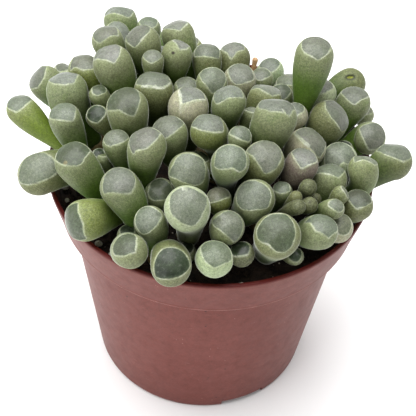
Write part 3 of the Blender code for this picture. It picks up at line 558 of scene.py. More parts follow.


# window colours; d and k are painted shade for heads sunk in shadow
WINDOW = {"g": lin(101, 104, 92), "l": lin(112, 115, 105), "m": lin(103, 109, 93), "p": lin(115, 116, 104),
          "d": lin(70, 77, 59), "k": lin(20, 31, 12), "e": lin(112, 114, 96), "y": lin(111, 117, 83),
          "t": lin(190, 150, 118), "s": lin(70, 72, 60)}
FLANK = {"g": lin(104, 111, 76), "y": lin(97, 104, 46), "b": lin(89, 103, 68), "e": lin(89, 92, 53),
         "p": lin(150, 146, 124), "v": lin(100, 85, 80), "w": lin(154, 166, 132), "t": lin(180, 136, 100),
         "s": lin(66, 68, 39)}
# side colours low down towards the foot: partly the leaves' own greener base, partly painted shade between the leaves
LOW_SIDE_AND_SHADE = {"g": lin(68, 96, 16), "y": lin(88, 106, 18), "b": lin(42, 68, 10), "e": lin(60, 77, 23),
        "p": lin(75, 90, 30), "v": lin(62, 56, 42), "w": lin(85, 98, 43), "t": lin(130, 92, 60),
        "s": lin(51, 53, 24)}

S = settle()
RNG = np.random.RandomState(20)
N_LEAVES = len(S["head"])
STALK = len(LEAVES) - 1


def unit(v):
    return v / np.linalg.norm(v)


def signed_distance(q, poly):
    """Distance of points q (n, 2) to the closed polygon, negative inside."""
    a = poly
    b = np.roll(poly, -1, axis=0)
    ab = b - a
    l2 = np.maximum((ab ** 2).sum(1), 1e-12)
    best = np.full(len(q), 1e9)
    inside = np.zeros(len(q), bool)
    for k in range(len(a)):
        d = q - a[k]
        t = np.clip((d @ ab[k]) / l2[k], 0, 1)
        e = d - t[:, None] * ab[k]
        best = np.minimum(best, (e ** 2).sum(1))
        if a[k, 1] != b[k, 1]:
            crosses = (a[k, 1] > q[:, 1]) != (b[k, 1] > q[:, 1])
            xi = a[k, 0] + (q[:, 1] - a[k, 1]) / (b[k, 1] - a[k, 1]) * ab[k, 0]
            inside ^= crosses & (q[:, 0] < xi)
    best = np.sqrt(best)
    return np.where(inside, -best, best)


def chaikin(p, n=2, closed=True):
    for _ in range(n):
        a, b = p, np.roll(p, -1, axis=0)
        p = np.stack([0.75 * a + 0.25 * b, 0.25 * a + 0.75 * b], 1).reshape(-1, 2)
    return p


def window_of(i):
    """Window axis, two axes across it, and its outline in angle about the axis."""
    h = S["head"][i]
    v = unit(EYE - h)
    r = unit(np.cross(PU, v))
    u = np.cross(v, r)
    n0 = unit(window_axis(h, float(S["turn"][i]), float(S["edge"][i])))
    rs = np.random.RandomState(500 + i)
    alpha = math.radians(50 + rs.uniform(-3, 3))
    pts = EDGES.get(i)
    n = n0
    if pts:
        d = []
        for x, y in pts:
            k = math.hypot(x, y)
            if k > 0.97:
                x, y = x * 0.97 / k, y * 0.97 / k
            d.append(x * r + y * u + math.sqrt(max(0.0, 1 - x * x - y * y)) * v)
        d = np.array(d)
        # denser points along the drawn edge
        dd = [d[0]]
        for p, q in zip(d[:-1], d[1:]):
            for s in (0.25, 0.5, 0.75, 1.0):
                dd.append(unit(p * (1 - s) + q * s))
        d = np.array(dd)
        best = None
        for a_deg in (38, 42, 46, 50, 54):
            m = n0.copy()
            al = math.radians(a_deg)
            for _ in range(60):
                ang = np.arccos(np.clip(d @ m, -1, 1))
                err = ang - al
                t = d - (d @ m)[:, None] * m
                t /= np.maximum(np.linalg.norm(t, axis=1), 1e-6)[:, None]
                step = (t * err[:, None]).mean(0) + 0.12 * (n0 - m)
                m = unit(m + 0.5 * step)
            ang = np.arccos(np.clip(d @ m, -1, 1))
            cost = ((ang - al) ** 2).mean() + 0.02 * math.acos(max(-1, min(1, float(m @ n0)))) ** 2 + 0.10 * (al - math.radians(49)) ** 2
            if best is None or cost < best[0]:
                best = (cost, m, al)
        n, alpha = best[1], best[2]
    e1 = unit(np.cross(n, [0.3, 0.2, 0.93]))
    e2 = np.cross(n, e1)

    def flat(d):
        ang = np.arccos(np.clip(d @ n, -1, 1))
        x, y = d @ e1, d @ e2
        k = ang / np.maximum(np.hypot(x, y), 1e-9)
        return np.stack([x * k, y * k], -1)

    ph = rs.uniform(0, 2 * math.pi)
    amp3 = rs.uniform(0.05, 0.10)
    amp2 = rs.uniform(0.0, 0.05)

    def rule(c):
        return alpha * (1 + amp3 * np.cos(3 * c + ph) + amp2 * np.cos(2 * c + 2.1 * ph))

    if pts:
        q = flat(d)
        c = np.unwrap(np.arctan2(q[:, 1], q[:, 0]))
        rho = np.hypot(q[:, 0], q[:, 1])
        span = c[-1] - c[0]
        turn = math.copysign(2 * math.pi - abs(span), span)
        k = max(6, int(abs(turn) / 0.16))
        s = np.linspace(0, 1, k + 2)[1:-1]
        cc = c[-1] + s * turn
        w0 = np.clip(1 - s * abs(turn) / 0.7, 0, 1) ** 2
        w1 = np.clip(1 - (1 - s) * abs(turn) / 0.7, 0, 1) ** 2
        rr = rule(cc) * (1 - w0 - w1) + rho[-1] * w0 + rho[0] * w1
        q2 = np.stack([rr * np.cos(cc), rr * np.sin(cc)], -1)
        poly = np.vstack([q, q2])
        poly = chaikin(poly, 1)
    else:
        cc = np.linspace(0, 2 * math.pi, 41)[:-1]
        rr = rule(cc)
        poly = np.stack([rr * np.cos(cc), rr * np.sin(cc)], -1)
    return n, e1, e2, flat, poly


# Small dark marks: leaf, place on the head in head radii (across, up), size in mm
SPOTS = [(30, -0.24, 0.13, 0.42), (49, 0.75, 0.43, 0.20)]
# Further pale lines on single heads, in head radii
MARKS = {52: [[(-0.52, 0.71), (-0.19, 0.43), (0.19, 0.10)]], 83: [[(-0.45, 0.79), (-0.36, 0.40), (-0.38, -0.26)], [(-0.38, -0.26), (-0.02, 0.12), (0.31, 0.31), (0.79, 0.36)]], 28: [[(-0.05, 0.97), (0.00, 0.57), (0.15, 0.12)], [(0.15, 0.12), (0.55, 0.17), (0.85, 0.33)], [(0.05, 0.17), (-0.25, 0.28), (-0.60, 0.17)]], 58: [[(-0.17, 0.88), (-0.09, 0.67)], [(-0.04, 0.92), (0.00, 0.75)], [(-0.21, -0.15), (-0.04, -0.02), (0.09, -0.19)]], 86: [[(0.18, 0.63), (0.36, 0.45), (0.45, 0.27)]], 63: [[(-1.19, -0.54), (-0.89, -0.30)]], 24: [[(-0.68, 0.37), (-0.21, 0.47), (0.42, 0.79)]]}
# Leaves that are still a closed pair, with the slot between the two: place, half length, half width
SLOTS = {41: (0.00, 0.39, 0.30, 0.16)}
# Buds and young lobes, which have no window yet
PLAIN = {41, 65, 66, 67, 68, 69}


AROUND = 44
BODY_RINGS = 20
DOME_RINGS = 19


def leaf_surface(i):
    foot, mid, head = S["foot"][i], S["mid"][i], S["head"][i]
    R = float(S["rad"][i])
    size = float(S["size"][i])
    rs = np.random.RandomState(900 + i)
    A = unit(head - mid)
    ts = 1 - (np.linspace(1, 0, BODY_RINGS) ** 1.25)[:]       # 0 .. 1, denser near the head
    side = unit(np.cross(unit(mid - foot), [0.2, 0.9, 0.1]))
    P, meta = [], []
    ph = rs.uniform(0, 6.28, 6)
    ang = np.linspace(0, 2 * math.pi, AROUND, endpoint=False)
    keel = 0.030 if i != STALK else 0.0

    def ring(c, tan, rad, x):
        nonlocal side
        side = unit(side - tan * (side @ tan))
        other = np.cross(tan, side)
        wob = 1 + keel * np.cos(3 * ang + ph[0]) * np.clip(x * 0.5, 0, 1) + 0.012 * np.cos(2 * ang + ph[1]) \
            + 0.008 * np.sin(5 * ang + ph[2] + 1.7 * x)
        return c + (side[None] * np.cos(ang)[:, None] + other[None] * np.sin(ang)[:, None]) * (rad * wob)[:, None]

    for t in ts:
        c = foot * (1 - t) ** 2 + mid * 2 * t * (1 - t) + head * t * t
        tan = unit((mid - foot) * (1 - t) + (head - mid) * t)
        x = size * (1 - t)
        rad = max(R * float(shape_of(x)), 0.5 if R < 1 else 0.0)
        P.append(ring(c, tan, rad, x))
        meta.append(np.full(AROUND, x * R))
    side = unit(side - A * (side @ A))
    other = np.cross(A, side)
    for k in range(1, DOME_RINGS + 1):
        b = math.pi / 2 * (1 - k / (DOME_RINGS + 0.55))
        rad = R * math.sin(b) if k else R
        wob = 1 + 0.012 * np.cos(2 * ang + ph[1]) * math.sin(b) + 0.008 * np.sin(5 * ang + ph[2]) * math.sin(b) ** 2
        c = head + A * R * math.cos(b)
        P.append(c + (side[None] * np.cos(ang)[:, None] + other[None] * np.sin(ang)[:, None]) * (rad * wob)[:, None])
        meta.append(np.full(AROUND, -R * math.cos(b)))
    P.append((head + A * R)[None])
    meta.append(np.array([-R]))
    P.append(foot[None])
    meta.append(np.array([size * R]))
    V = np.vstack(P)
    down = np.concatenate(meta)
    nr = BODY_RINGS + DOME_RINGS
    # window
    n, e1, e2, flat, poly = window_of(i)
    rel = V - head
    dist = np.maximum(np.linalg.norm(rel, axis=1), 1e-6)
    d = rel / dist[:, None]
    q = flat(d)
    F = signed_distance(q, poly) * R
    psi = np.hypot(q[:, 0], q[:, 1])
    F = np.where(psi > 2.2, 3.5, F)
    if i == STALK or i in PLAIN:
        F = np.full(len(V), 3.0)
    s = np.clip(-F / (0.72 * R), 0, 1)
    drop = 0.165 * (1 - (1 - s) ** 1.8)
    lip = 0.014 * np.exp(-(F / (0.075 * R)) ** 2) - 0.010 * np.exp(-((F + 0.13 * R) / (0.07 * R)) ** 2)
    k = np.where(psi < 2.0, 1 - drop + lip, 1.0)
    # slow swelling so that no two heads are alike
    k = k * (1 + 0.012 * np.sin(2.1 * d[:, 0] + ph[3]) * np.sin(2.3 * d[:, 1] + ph[4]) * np.where(dist < 1.2 * R, 1, 0))
    V = head + d * (dist * k)[:, None]
    faces = []
    for a in range(nr - 1):
        b0, b1 = a * AROUND, (a + 1) * AROUND
        for j in range(AROUND):
            jj = (j + 1) % AROUND
            faces.append((b0 + j, b0 + jj, b1 + jj, b1 + j))
    top = nr * AROUND
    bot = top + 1
    last = (nr - 1) * AROUND
    for j in range(AROUND):
        jj = (j + 1) % AROUND
        faces.append((last + j, last + jj, top))
        faces.append((jj, j, bot))
    azi = np.concatenate([np.tile(ang, nr), [0.0, 0.0]])
    local = np.stack([np.cos(azi) * R, np.sin(azi) * R, down], -1)
    return V, faces, np.clip(F, -4, 4), down, local


def attach(me, name, kind, values):
    at = me.attributes.new(name, kind, "POINT")
    if kind == "FLOAT":
        at.data.foreach_set("value", np.ascontiguousarray(values, dtype=np.float32).ravel())
    elif kind == "FLOAT_VECTOR":
        at.data.foreach_set("vector", np.ascontiguousarray(values, dtype=np.float32).ravel())
    else:
        at.data.foreach_set("color", np.ascontiguousarray(values, dtype=np.float32).ravel())


# ---------------------------------------------------------------- node helpers
class Nodes:
    """Short names for building a material's node tree."""

    def __init__(self, name):
        self.mat = bpy.data.materials.new(name)
        self.mat.use_nodes = True
        self.nt = self.mat.node_tree
        self.bsdf = self.nt.nodes["Principled BSDF"]
        self.out = self.nt.nodes["Material Output"]

    def new(self, kind, **props):
        n = self.nt.nodes.new(kind)
        for k, v in props.items():
            setattr(n, k, v)
        return n

    def link(self, a, b):
        self.nt.links.new(a, b)

    def put(self, sock, v):
        if isinstance(v, bpy.types.NodeSocket):
            self.link(v, sock)
        elif isinstance(v, (tuple, list)) and len(v) == 3 and sock.type == "RGBA":
            sock.default_value = (*v, 1.0)
        else:
            sock.default_value = v

    def coord(self):
        return self.new("ShaderNodeTexCoord").outputs["Object"]

    def attr(self, name, out="Fac"):
        return self.new("ShaderNodeAttribute", attribute_name=name).outputs[out]

    def math(self, op, a, b=0.0, c=None, clamp=False):
        n = self.new("ShaderNodeMath", operation=op, use_clamp=clamp)
        self.put(n.inputs[0], a)
        self.put(n.inputs[1], b)
        if c is not None:
            self.put(n.inputs[2], c)
        return n.outputs[0]

    def mix(self, f, a, b, blend="MIX"):
        n = self.new("ShaderNodeMix", data_type="RGBA", blend_type=blend)
        self.put(n.inputs["Factor"], f)
        self.put(n.inputs[6], a)
        self.put(n.inputs[7], b)
        return n.outputs[2]

    def ramp(self, f, lo, hi, a=0.0, b=1.0, smooth=True):
        n = self.new("ShaderNodeMapRange", interpolation_type="SMOOTHSTEP" if smooth else "LINEAR")
        self.put(n.inputs["Value"], f)
        n.inputs["From Min"].default_value = lo
        n.inputs["From Max"].default_value = hi
        n.inputs["To Min"].default_value = a
        n.inputs["To Max"].default_value = b
        return n.outputs["Result"]

    def noise(self, vec, scale, detail=2.0, rough=0.5, w=None, distortion=0.0):
        n = self.new("ShaderNodeTexNoise")
        self.put(n.inputs["Vector"], vec)
        n.inputs["Scale"].default_value = scale
        n.inputs["Detail"].default_value = detail
        n.inputs["Roughness"].default_value = rough
        n.inputs["Distortion"].default_value = distortion
        return n.outputs["Fac"]

    def voronoi(self, vec, scale, feature="F1", out="Distance"):
        n = self.new("ShaderNodeTexVoronoi", feature=feature)
        self.put(n.inputs["Vector"], vec)
        n.inputs["Scale"].default_value = scale
        return n.outputs[out]

    def scale(self, vec, x, y=None, z=None):
        n = self.new("ShaderNodeVectorMath", operation="MULTIPLY")
        self.put(n.inputs[0], vec)
        n.inputs[1].default_value = (x, x if y is None else y, x if z is None else z)
        return n.outputs[0]

    def bump(self, height, strength, distance, normal=None):
        n = self.new("ShaderNodeBump")
        n.inputs["Strength"].default_value = strength
        n.inputs["Distance"].default_value = distance
        self.put(n.inputs["Height"], height)
        if normal is not None:
            self.link(normal, n.inputs["Normal"])
        return n.outputs["Normal"]


def leaf_material():
    m = Nodes("leaf")
    p = m.coord()
    edge = m.attr("edge")
    down = m.attr("down")
    local = m.attr("local", "Vector")
    tint = m.attr("tint", "Color")
    flank = m.attr("flank", "Color")
    deep = m.attr("deep", "Color")
    vary = m.new("ShaderNodeSeparateColor")
    m.link(m.attr("vary", "Color"), vary.inputs[0])
    r1, r2, r3 = vary.outputs[0], vary.outputs[1], vary.outputs[2]

    broad = m.noise(p, 260.0, 2.0)
    mid_n = m.noise(p, 900.0, 3.0, 0.6)
    fine = m.noise(p, 3600.0, 3.0, 0.65)
    streak = m.noise(m.scale(local, 1.5, 1.5, 0.22), 1.0, 3.0, 0.6)
    # the window's edge wanders a little
    e = m.math("ADD", edge, m.math("MULTIPLY", m.math("SUBTRACT", mid_n, 0.5), 0.30))
    e = m.math("ADD", e, m.math("MULTIPLY", m.math("SUBTRACT", fine, 0.5), 0.10))
    in_window = m.ramp(e, 0.14, -0.22)
    width = m.ramp(m.noise(p, 480.0, 1.0), 0.3, 0.7, 0.12, 0.26)
    line = m.math("DIVIDE", m.math("ABSOLUTE", m.math("SUBTRACT", e, 0.05)), width)
    line = m.ramp(line, 1.35, 0.15)
    # side: pale whitish wax under the edge, clearer, greener and darker towards the foot; the darkening towards the
    # foot is partly the leaf's own greener base and partly painted shade between the leaves
    bloom_to_shade = m.ramp(down, -1.2, 6.2, 0.0, 1.0)
    bloom_to_shade = m.math("ADD", bloom_to_shade, m.math("MULTIPLY", m.math("SUBTRACT", streak, 0.5), 0.55), clamp=True)
    side = m.mix(bloom_to_shade, flank, deep)
    rubbed = m.ramp(m.noise(p, 620.0, 4.0, 0.62), 0.50, 0.70)
    side = m.mix(m.math("MULTIPLY", rubbed, 0.30), side, deep)
    collar = m.ramp(edge, 1.3, 0.0)
    side = m.mix(m.math("MULTIPLY", collar, 0.30), side, lin(146, 154, 118))
    grain = m.ramp(fine, 0.32, 0.72)
    side = m.mix(m.math("MULTIPLY", grain, m.ramp(bloom_to_shade, 0.0, 1.0, 0.34, 0.05)), side, lin(152, 160, 124))
    # window: clear cells under a thin haze, a little darker along the edge
    win = m.mix(m.ramp(broad, 0.35, 0.68), tint, m.mix(0.30, tint, lin(70, 86, 60)))
    rim_shade = m.ramp(e, -0.80, -0.10, 0.0, 0.26)
    win = m.mix(rim_shade, win, lin(66, 82, 56))
    cells = m.voronoi(p, 4200.0)
    haze = m.mix(0.62, lin(160, 166, 152), tint)
    win = m.mix(m.ramp(cells, 0.30, 0.05, 0.0, 0.22), win, haze)
    win = m.mix(m.ramp(m.noise(p, 1500.0, 4.0, 0.7), 0.50, 0.74, 0.0, 0.44), win, haze)
    col = m.mix(in_window, side, win)
    cream = m.mix(m.ramp(m.noise(p, 700.0, 2.0), 0.35, 0.65), lin(186, 190, 172), lin(168, 175, 145))
    firm = m.ramp(m.noise(p, 330.0, 2.0), 0.30, 0.60, 0.45, 1.0)
    col = m.mix(m.math("MULTIPLY", m.math("MULTIPLY", line, firm), m.ramp(r1, 0.0, 1.0, 0.42, 0.70)), col, cream)
    mark = m.math("ADD", m.attr("mark"), m.math("MULTIPLY", m.math("SUBTRACT", mid_n, 0.5), 0.16))
    col = m.mix(m.math("MULTIPLY", m.ramp(mark, 0.17, 0.03), m.math("MULTIPLY", firm, 0.55)), col, cream)
    # old scars: small brown or pale marks, rare
    scar = m.voronoi(m.scale(p, 1.0), 150.0)
    scar_m = m.math("MULTIPLY", m.ramp(scar, 0.085, 0.04), m.ramp(m.noise(p, 55.0, 1.0), 0.56, 0.62))
    col = m.mix(m.math("MULTIPLY", scar_m, 0.65), col, lin(120, 112, 76))
    spot = m.attr("spot")
    col = m.mix(m.ramp(spot, 0.35, 0.8), col, lin(46, 40, 26))
    slot = m.attr("slot")
    # dark walls of the slot: painted shade in the crease between the pair
    col = m.mix(m.ramp(slot, 0.15, 0.65, 0.0, 0.85), col, lin(52, 56, 34))
    col = m.mix(m.ramp(slot, 0.80, 1.0), col, lin(126, 132, 34))
    tiny = m.math("ADD", m.math("MULTIPLY", m.noise(p, 5200.0, 2.0, 0.7), 0.6), m.math("MULTIPLY", m.noise(p, 2100.0, 2.0, 0.6), 0.4))
    g = m.ramp(tiny, 0.36, 0.64, 0.62, 1.34, smooth=False)
    shade = m.new("ShaderNodeCombineColor")
    for k in range(3):
        m.link(g, shade.inputs[k])
    col = m.mix(1.0, col, shade.outputs[0], blend="MULTIPLY")
    m.put(m.bsdf.inputs["Base Color"], col)
    rough = m.mix(in_window, (0.62, 0.62, 0.62), (0.40, 0.40, 0.40))
    rv = m.new("ShaderNodeRGBToBW")
    m.link(rough, rv.inputs[0])
    rgh = m.math("ADD", rv.outputs[0], m.math("MULTIPLY", m.math("SUBTRACT", mid_n, 0.5), 0.20))
    m.put(m.bsdf.inputs["Roughness"], rgh)
    m.bsdf.inputs["Specular IOR Level"].default_value = 0.38
    m.bsdf.inputs["Subsurface Weight"].default_value = 0.16
    m.bsdf.inputs["Subsurface Radius"].default_value = (0.9, 1.2, 0.5)
    m.bsdf.inputs["Subsurface Scale"].default_value = 0.0010
    m.bsdf.inputs["Sheen Weight"].default_value = 0.60
    m.bsdf.inputs["Sheen Roughness"].default_value = 0.20
    m.bsdf.inputs["Sheen Tint"].default_value = (0.92, 0.95, 0.86, 1.0)
    h = m.math("ADD", m.math("MULTIPLY", fine, 0.35), m.math("MULTIPLY", m.noise(p, 1500.0, 2.0), 0.5))
    h = m.math("ADD", h, m.math("MULTIPLY", line, 0.45))
    m.link(m.bump(h, 0.55, 0.00012), m.bsdf.inputs["Normal"])
    return m.mat


def build_leaves(mat):
    for gi, members in enumerate(S["groups"]):
        name = "rosette_%02d" % (gi + 1)
        V, Fc, A = [], [], {k: [] for k in ("edge", "down", "local", "tint", "flank", "deep", "vary", "spot", "mark", "slot")}
        off = 0
        for i in members:
            v, f, e, dn, loc = leaf_surface(i)
            n = len(v)
            kind = KINDS[i] if i < len(KINDS) else ["mg", "lg", "gg", "gy"][i % 4]
            rs = np.random.RandomState(40 + i)
            j = 1 + rs.uniform(-0.07, 0.07)
            hue = rs.uniform(-0.035, 0.035, 3)
            V.append(v * MM)
            Fc += [tuple(a + off for a in q) for q in f]
            A["edge"].append(e)
            A["down"].append(dn)
            A["local"].append(loc + rs.uniform(0, 60, 3))
            for key, table, letter in (("tint", WINDOW, kind[0]), ("flank", FLANK, kind[1]), ("deep", LOW_SIDE_AND_SHADE, kind[1])):
                c = np.array(table[letter]) * j * (1 + hue)
                A[key].append(np.tile(np.append(c, 1.0), (n, 1)))
            A["vary"].append(np.tile([rs.rand(), rs.rand(), rs.rand(), 1.0], (n, 1)))
            sp = np.zeros(n)
            for li, dx, dy, rr in SPOTS:
                if li == i:
                    h = S["head"][i]
                    vv = unit(EYE - h)
                    r = unit(np.cross(PU, vv))
                    u = np.cross(vv, r)
                    R = S["rad"][i]
                    d = unit(dx * r + dy * u + math.sqrt(max(0, 1 - dx * dx - dy * dy)) * vv)
                    c = h + d * R
                    sp = np.maximum(sp, np.clip(1.4 - np.linalg.norm(v - c, axis=1) / rr, 0, 1))
            A["spot"].append(sp)
            mk = np.full(n, 2.0)
            h, R = S["head"][i], float(S["rad"][i])
            vv = unit(EYE - h)
            r = unit(np.cross(PU, vv))
            u = np.cross(vv, r)
            for line in MARKS.get(i, []):
                pts = []
                for a, b in zip(line[:-1], line[1:]):
                    for t in np.linspace(0, 1, 5):
                        x, y = a[0] * (1 - t) + b[0] * t, a[1] * (1 - t) + b[1] * t
                        k = max(1.0, math.hypot(x, y) / 0.96)
                        x, y = x / k, y / k
                        pts.append(h + R * (x * r + y * u + math.sqrt(max(0.0, 1 - x * x - y * y)) * vv))
                pts = np.array(pts)
                for a, b in zip(pts[:-1], pts[1:]):
                    ab = b - a
                    t = np.clip(((v - a) @ ab) / max(1e-9, float(ab @ ab)), 0, 1)
                    d = np.linalg.norm(v - a - t[:, None] * ab, axis=1)
                    # the head is a little flatter than the ball the line was laid on
                    mk = np.minimum(mk, np.maximum(0.0, d - 0.06 * R))
            A["mark"].append(mk)
            sl = np.zeros(n)
            if i in SLOTS:
                x0, y0, half, wide = SLOTS[i]
                d = v - h
                px, py, pz = d @ r / R, d @ u / R, d @ vv
                q = np.hypot((px - x0) / half, (py - y0) / wide)
                sl = np.clip(1.6 - q, 0, 1) * (pz > 0)
                v -= np.outer(np.clip(1.5 - q, 0, 1) ** 1.5 * (pz > 0) * 0.22 * R, vv)
                V[-1] = v * MM
            A["slot"].append(sl)
            off += n
        # the crown that the leaves grow from
        cx, cy = S["crown"][gi]
        z = float(soil_z(math.hypot(cx, cy)))
        prof = [(0.9, z - 3.9), (1.5, z - 0.4), (2.2, z + 0.4), (2.4, z + 1.2), (1.9, z + 2.3), (1.0, z + 2.8)]
        na = 20
        cv = [(cx, cy, z - 3.95)]
        for r, h in prof:
            for k in range(na):
                a = 2 * math.pi * k / na
                w = 1 + 0.06 * math.sin(3 * a + gi)
                cv.append((cx + r * w * math.cos(a), cy + r * w * math.sin(a), h))
        cv.append((cx, cy, z + 2.9))
        cf = []
        for k in range(na):
            kk = (k + 1) % na
            cf.append((0, 1 + kk, 1 + k))
            for s in range(len(prof) - 1):
                a, b = 1 + s * na, 1 + (s + 1) * na
                cf.append((a + k, a + kk, b + kk, b + k))
            t = 1 + (len(prof) - 1) * na
            cf.append((t + k, t + kk, len(cv) - 1))
        n = len(cv)
        V.append(np.array(cv) * MM)
        Fc += [tuple(a + off for a in q) for q in cf]
        A["edge"].append(np.full(n, 3.0))
        A["down"].append(np.full(n, 14.0))
        A["local"].append(np.array(cv))
        A["tint"].append(np.tile([*WINDOW["d"], 1.0], (n, 1)))
        A["flank"].append(np.tile([*lin(120, 110, 70), 1.0], (n, 1)))
        A["deep"].append(np.tile([*lin(96, 84, 46), 1.0], (n, 1)))
        A["vary"].append(np.tile([0.5, 0.5, 0.5, 1.0], (n, 1)))
        for key, val in (("spot", 0.0), ("mark", 2.0), ("slot", 0.0)):
            A[key].append(np.full(n, val))
        me = bpy.data.meshes.new(name + "_leaves")
        me.from_pydata(np.vstack(V).tolist(), [], Fc)
        me.update()
        for key, arrs in A.items():
            vals = np.concatenate(arrs)
            kind = "FLOAT" if vals.ndim == 1 else ("FLOAT_VECTOR" if vals.shape[1] == 3 else "FLOAT_COLOR")
            attach(me, key, kind, vals)
        me.shade_smooth()
        ob = bpy.data.objects.new(name + "_leaves", me)
        bpy.context.scene.collection.objects.link(ob)
        me.materials.append(mat)
        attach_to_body(ob, "root")
        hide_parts(name)


# ---------------------------------------------------------------- pot
Z_C = POT_H - COLLAR_H


def body_r(z):
    return BASE_R + (BODY_TOP_R - BASE_R) * z / Z_C


def fillet(points, radius, n=4):
    """Round the corners of an open profile."""
    out = [points[0]]
    for a, b, c in zip(points[:-2], points[1:-1], points[2:]):
        a, b, c = np.array(a), np.array(b), np.array(c)
        u, v = a - b, c - b
        lu, lv = np.linalg.norm(u), np.linalg.norm(v)
        r = min(radius, 0.45 * lu, 0.45 * lv)
        p, q = b + u / lu * r, b + v / lv * r
        for k in range(n + 1):
            t = k / n
            out.append(tuple((1 - t) ** 2 * p + 2 * t * (1 - t) * b + t * t * q))
    out.append(points[-1])
    return out


def pot_material():
    m = Nodes("pot_plastic")
    p = m.coord()
    z = m.new("ShaderNodeSeparateXYZ")
    m.link(p, z.inputs[0])
    base = lin(104, 50, 42)
    pale = lin(119, 64, 56)
    dark = lin(76, 28, 22)
    n1 = m.noise(p, 60.0, 3.0, 0.55)
    n2 = m.noise(p, 420.0, 4.0, 0.6)
    col = m.mix(m.ramp(n1, 0.30, 0.72), base, m.mix(0.45, base, pale))
    col = m.mix(m.math("MULTIPLY", m.ramp(n2, 0.45, 0.75), 0.22), col, dark)
    # scuffs: fine pale scratches running across the wall
    sc = m.noise(m.scale(p, 1.0, 1.0, 7.0), 260.0, 5.0, 0.75, distortion=0.6)
    col = m.mix(m.math("MULTIPLY", m.ramp(sc, 0.62, 0.74), 0.22), col, lin(178, 132, 124))
    # specks: embedded dark grains and pinholes
    v = m.voronoi(p, 330.0)
    keep = m.ramp(m.noise(p, 90.0, 0.0), 0.55, 0.62)
    col = m.mix(m.math("MULTIPLY", m.math("MULTIPLY", m.ramp(v, 0.10, 0.05), keep), 0.75), col, lin(44, 16, 14))
    v2 = m.voronoi(m.scale(p, 1.3), 520.0)
    keep2 = m.ramp(m.noise(m.scale(p, 1.7), 80.0, 0.0), 0.55, 0.63)
    col = m.mix(m.math("MULTIPLY", m.math("MULTIPLY", m.ramp(v2, 0.10, 0.05), keep2), 0.45), col, lin(190, 150, 140))
    # the inside of the wall is painted a much darker red, painted shade inside the pot; the rim's lip gets the same
    # darker red
    inner = m.attr("inner")
    col = m.mix(m.math("MULTIPLY", inner, 0.86), col, lin(72, 10, 7))
    tiny = m.math("ADD", m.math("MULTIPLY", m.noise(p, 2600.0, 3.0, 0.7), 0.6), m.math("MULTIPLY", m.noise(p, 900.0, 3.0, 0.6), 0.4))
    g = m.ramp(tiny, 0.34, 0.66, 0.80, 1.20, smooth=False)
    shade = m.new("ShaderNodeCombineColor")
    for k in range(3):
        m.link(g, shade.inputs[k])
    col = m.mix(1.0, col, shade.outputs[0], blend="MULTIPLY")
    # worn edge under the collar
    zz = z.outputs[2]
    wear = m.ramp(m.math("ABSOLUTE", m.math("SUBTRACT", zz, 0.0421)), 0.00055, 0.00010)
    wear = m.math("MULTIPLY", wear, m.ramp(m.noise(p, 240.0, 3.0), 0.38, 0.62, 0.25, 0.9))
    wear = m.math("MULTIPLY", wear, m.math("SUBTRACT", 1.0, inner))
    col = m.mix(m.math("MULTIPLY", wear, 0.45), col, lin(176, 124, 116))
    m.put(m.bsdf.inputs["Base Color"], col)
    rg = m.math("ADD", m.math("MULTIPLY", n2, 0.22), 0.36)
    m.put(m.bsdf.inputs["Roughness"], rg)
    m.bsdf.inputs["Specular IOR Level"].default_value = 0.22
    m.bsdf.inputs["Sheen Weight"].default_value = 0.03
    m.bsdf.inputs["Sheen Roughness"].default_value = 0.30
    m.bsdf.inputs["Sheen Tint"].default_value = (1.0, 0.90, 0.88, 1.0)
    m.bsdf.inputs["Subsurface Weight"].default_value = 0.06
    m.bsdf.inputs["Subsurface Radius"].default_value = (1.2, 0.4, 0.3)
    m.bsdf.inputs["Subsurface Scale"].default_value = 0.0012
    h = m.math("ADD", m.math("MULTIPLY", m.noise(p, 1300.0, 3.0, 0.6), 0.5), m.math("MULTIPLY", m.noise(p, 150.0, 2.0), 1.2))
    h = m.math("ADD", h, m.math("MULTIPLY", m.ramp(sc, 0.62, 0.74), -0.35))
    m.link(m.bump(h, 0.22, 0.00012), m.bsdf.inputs["Normal"])
    return m.mat


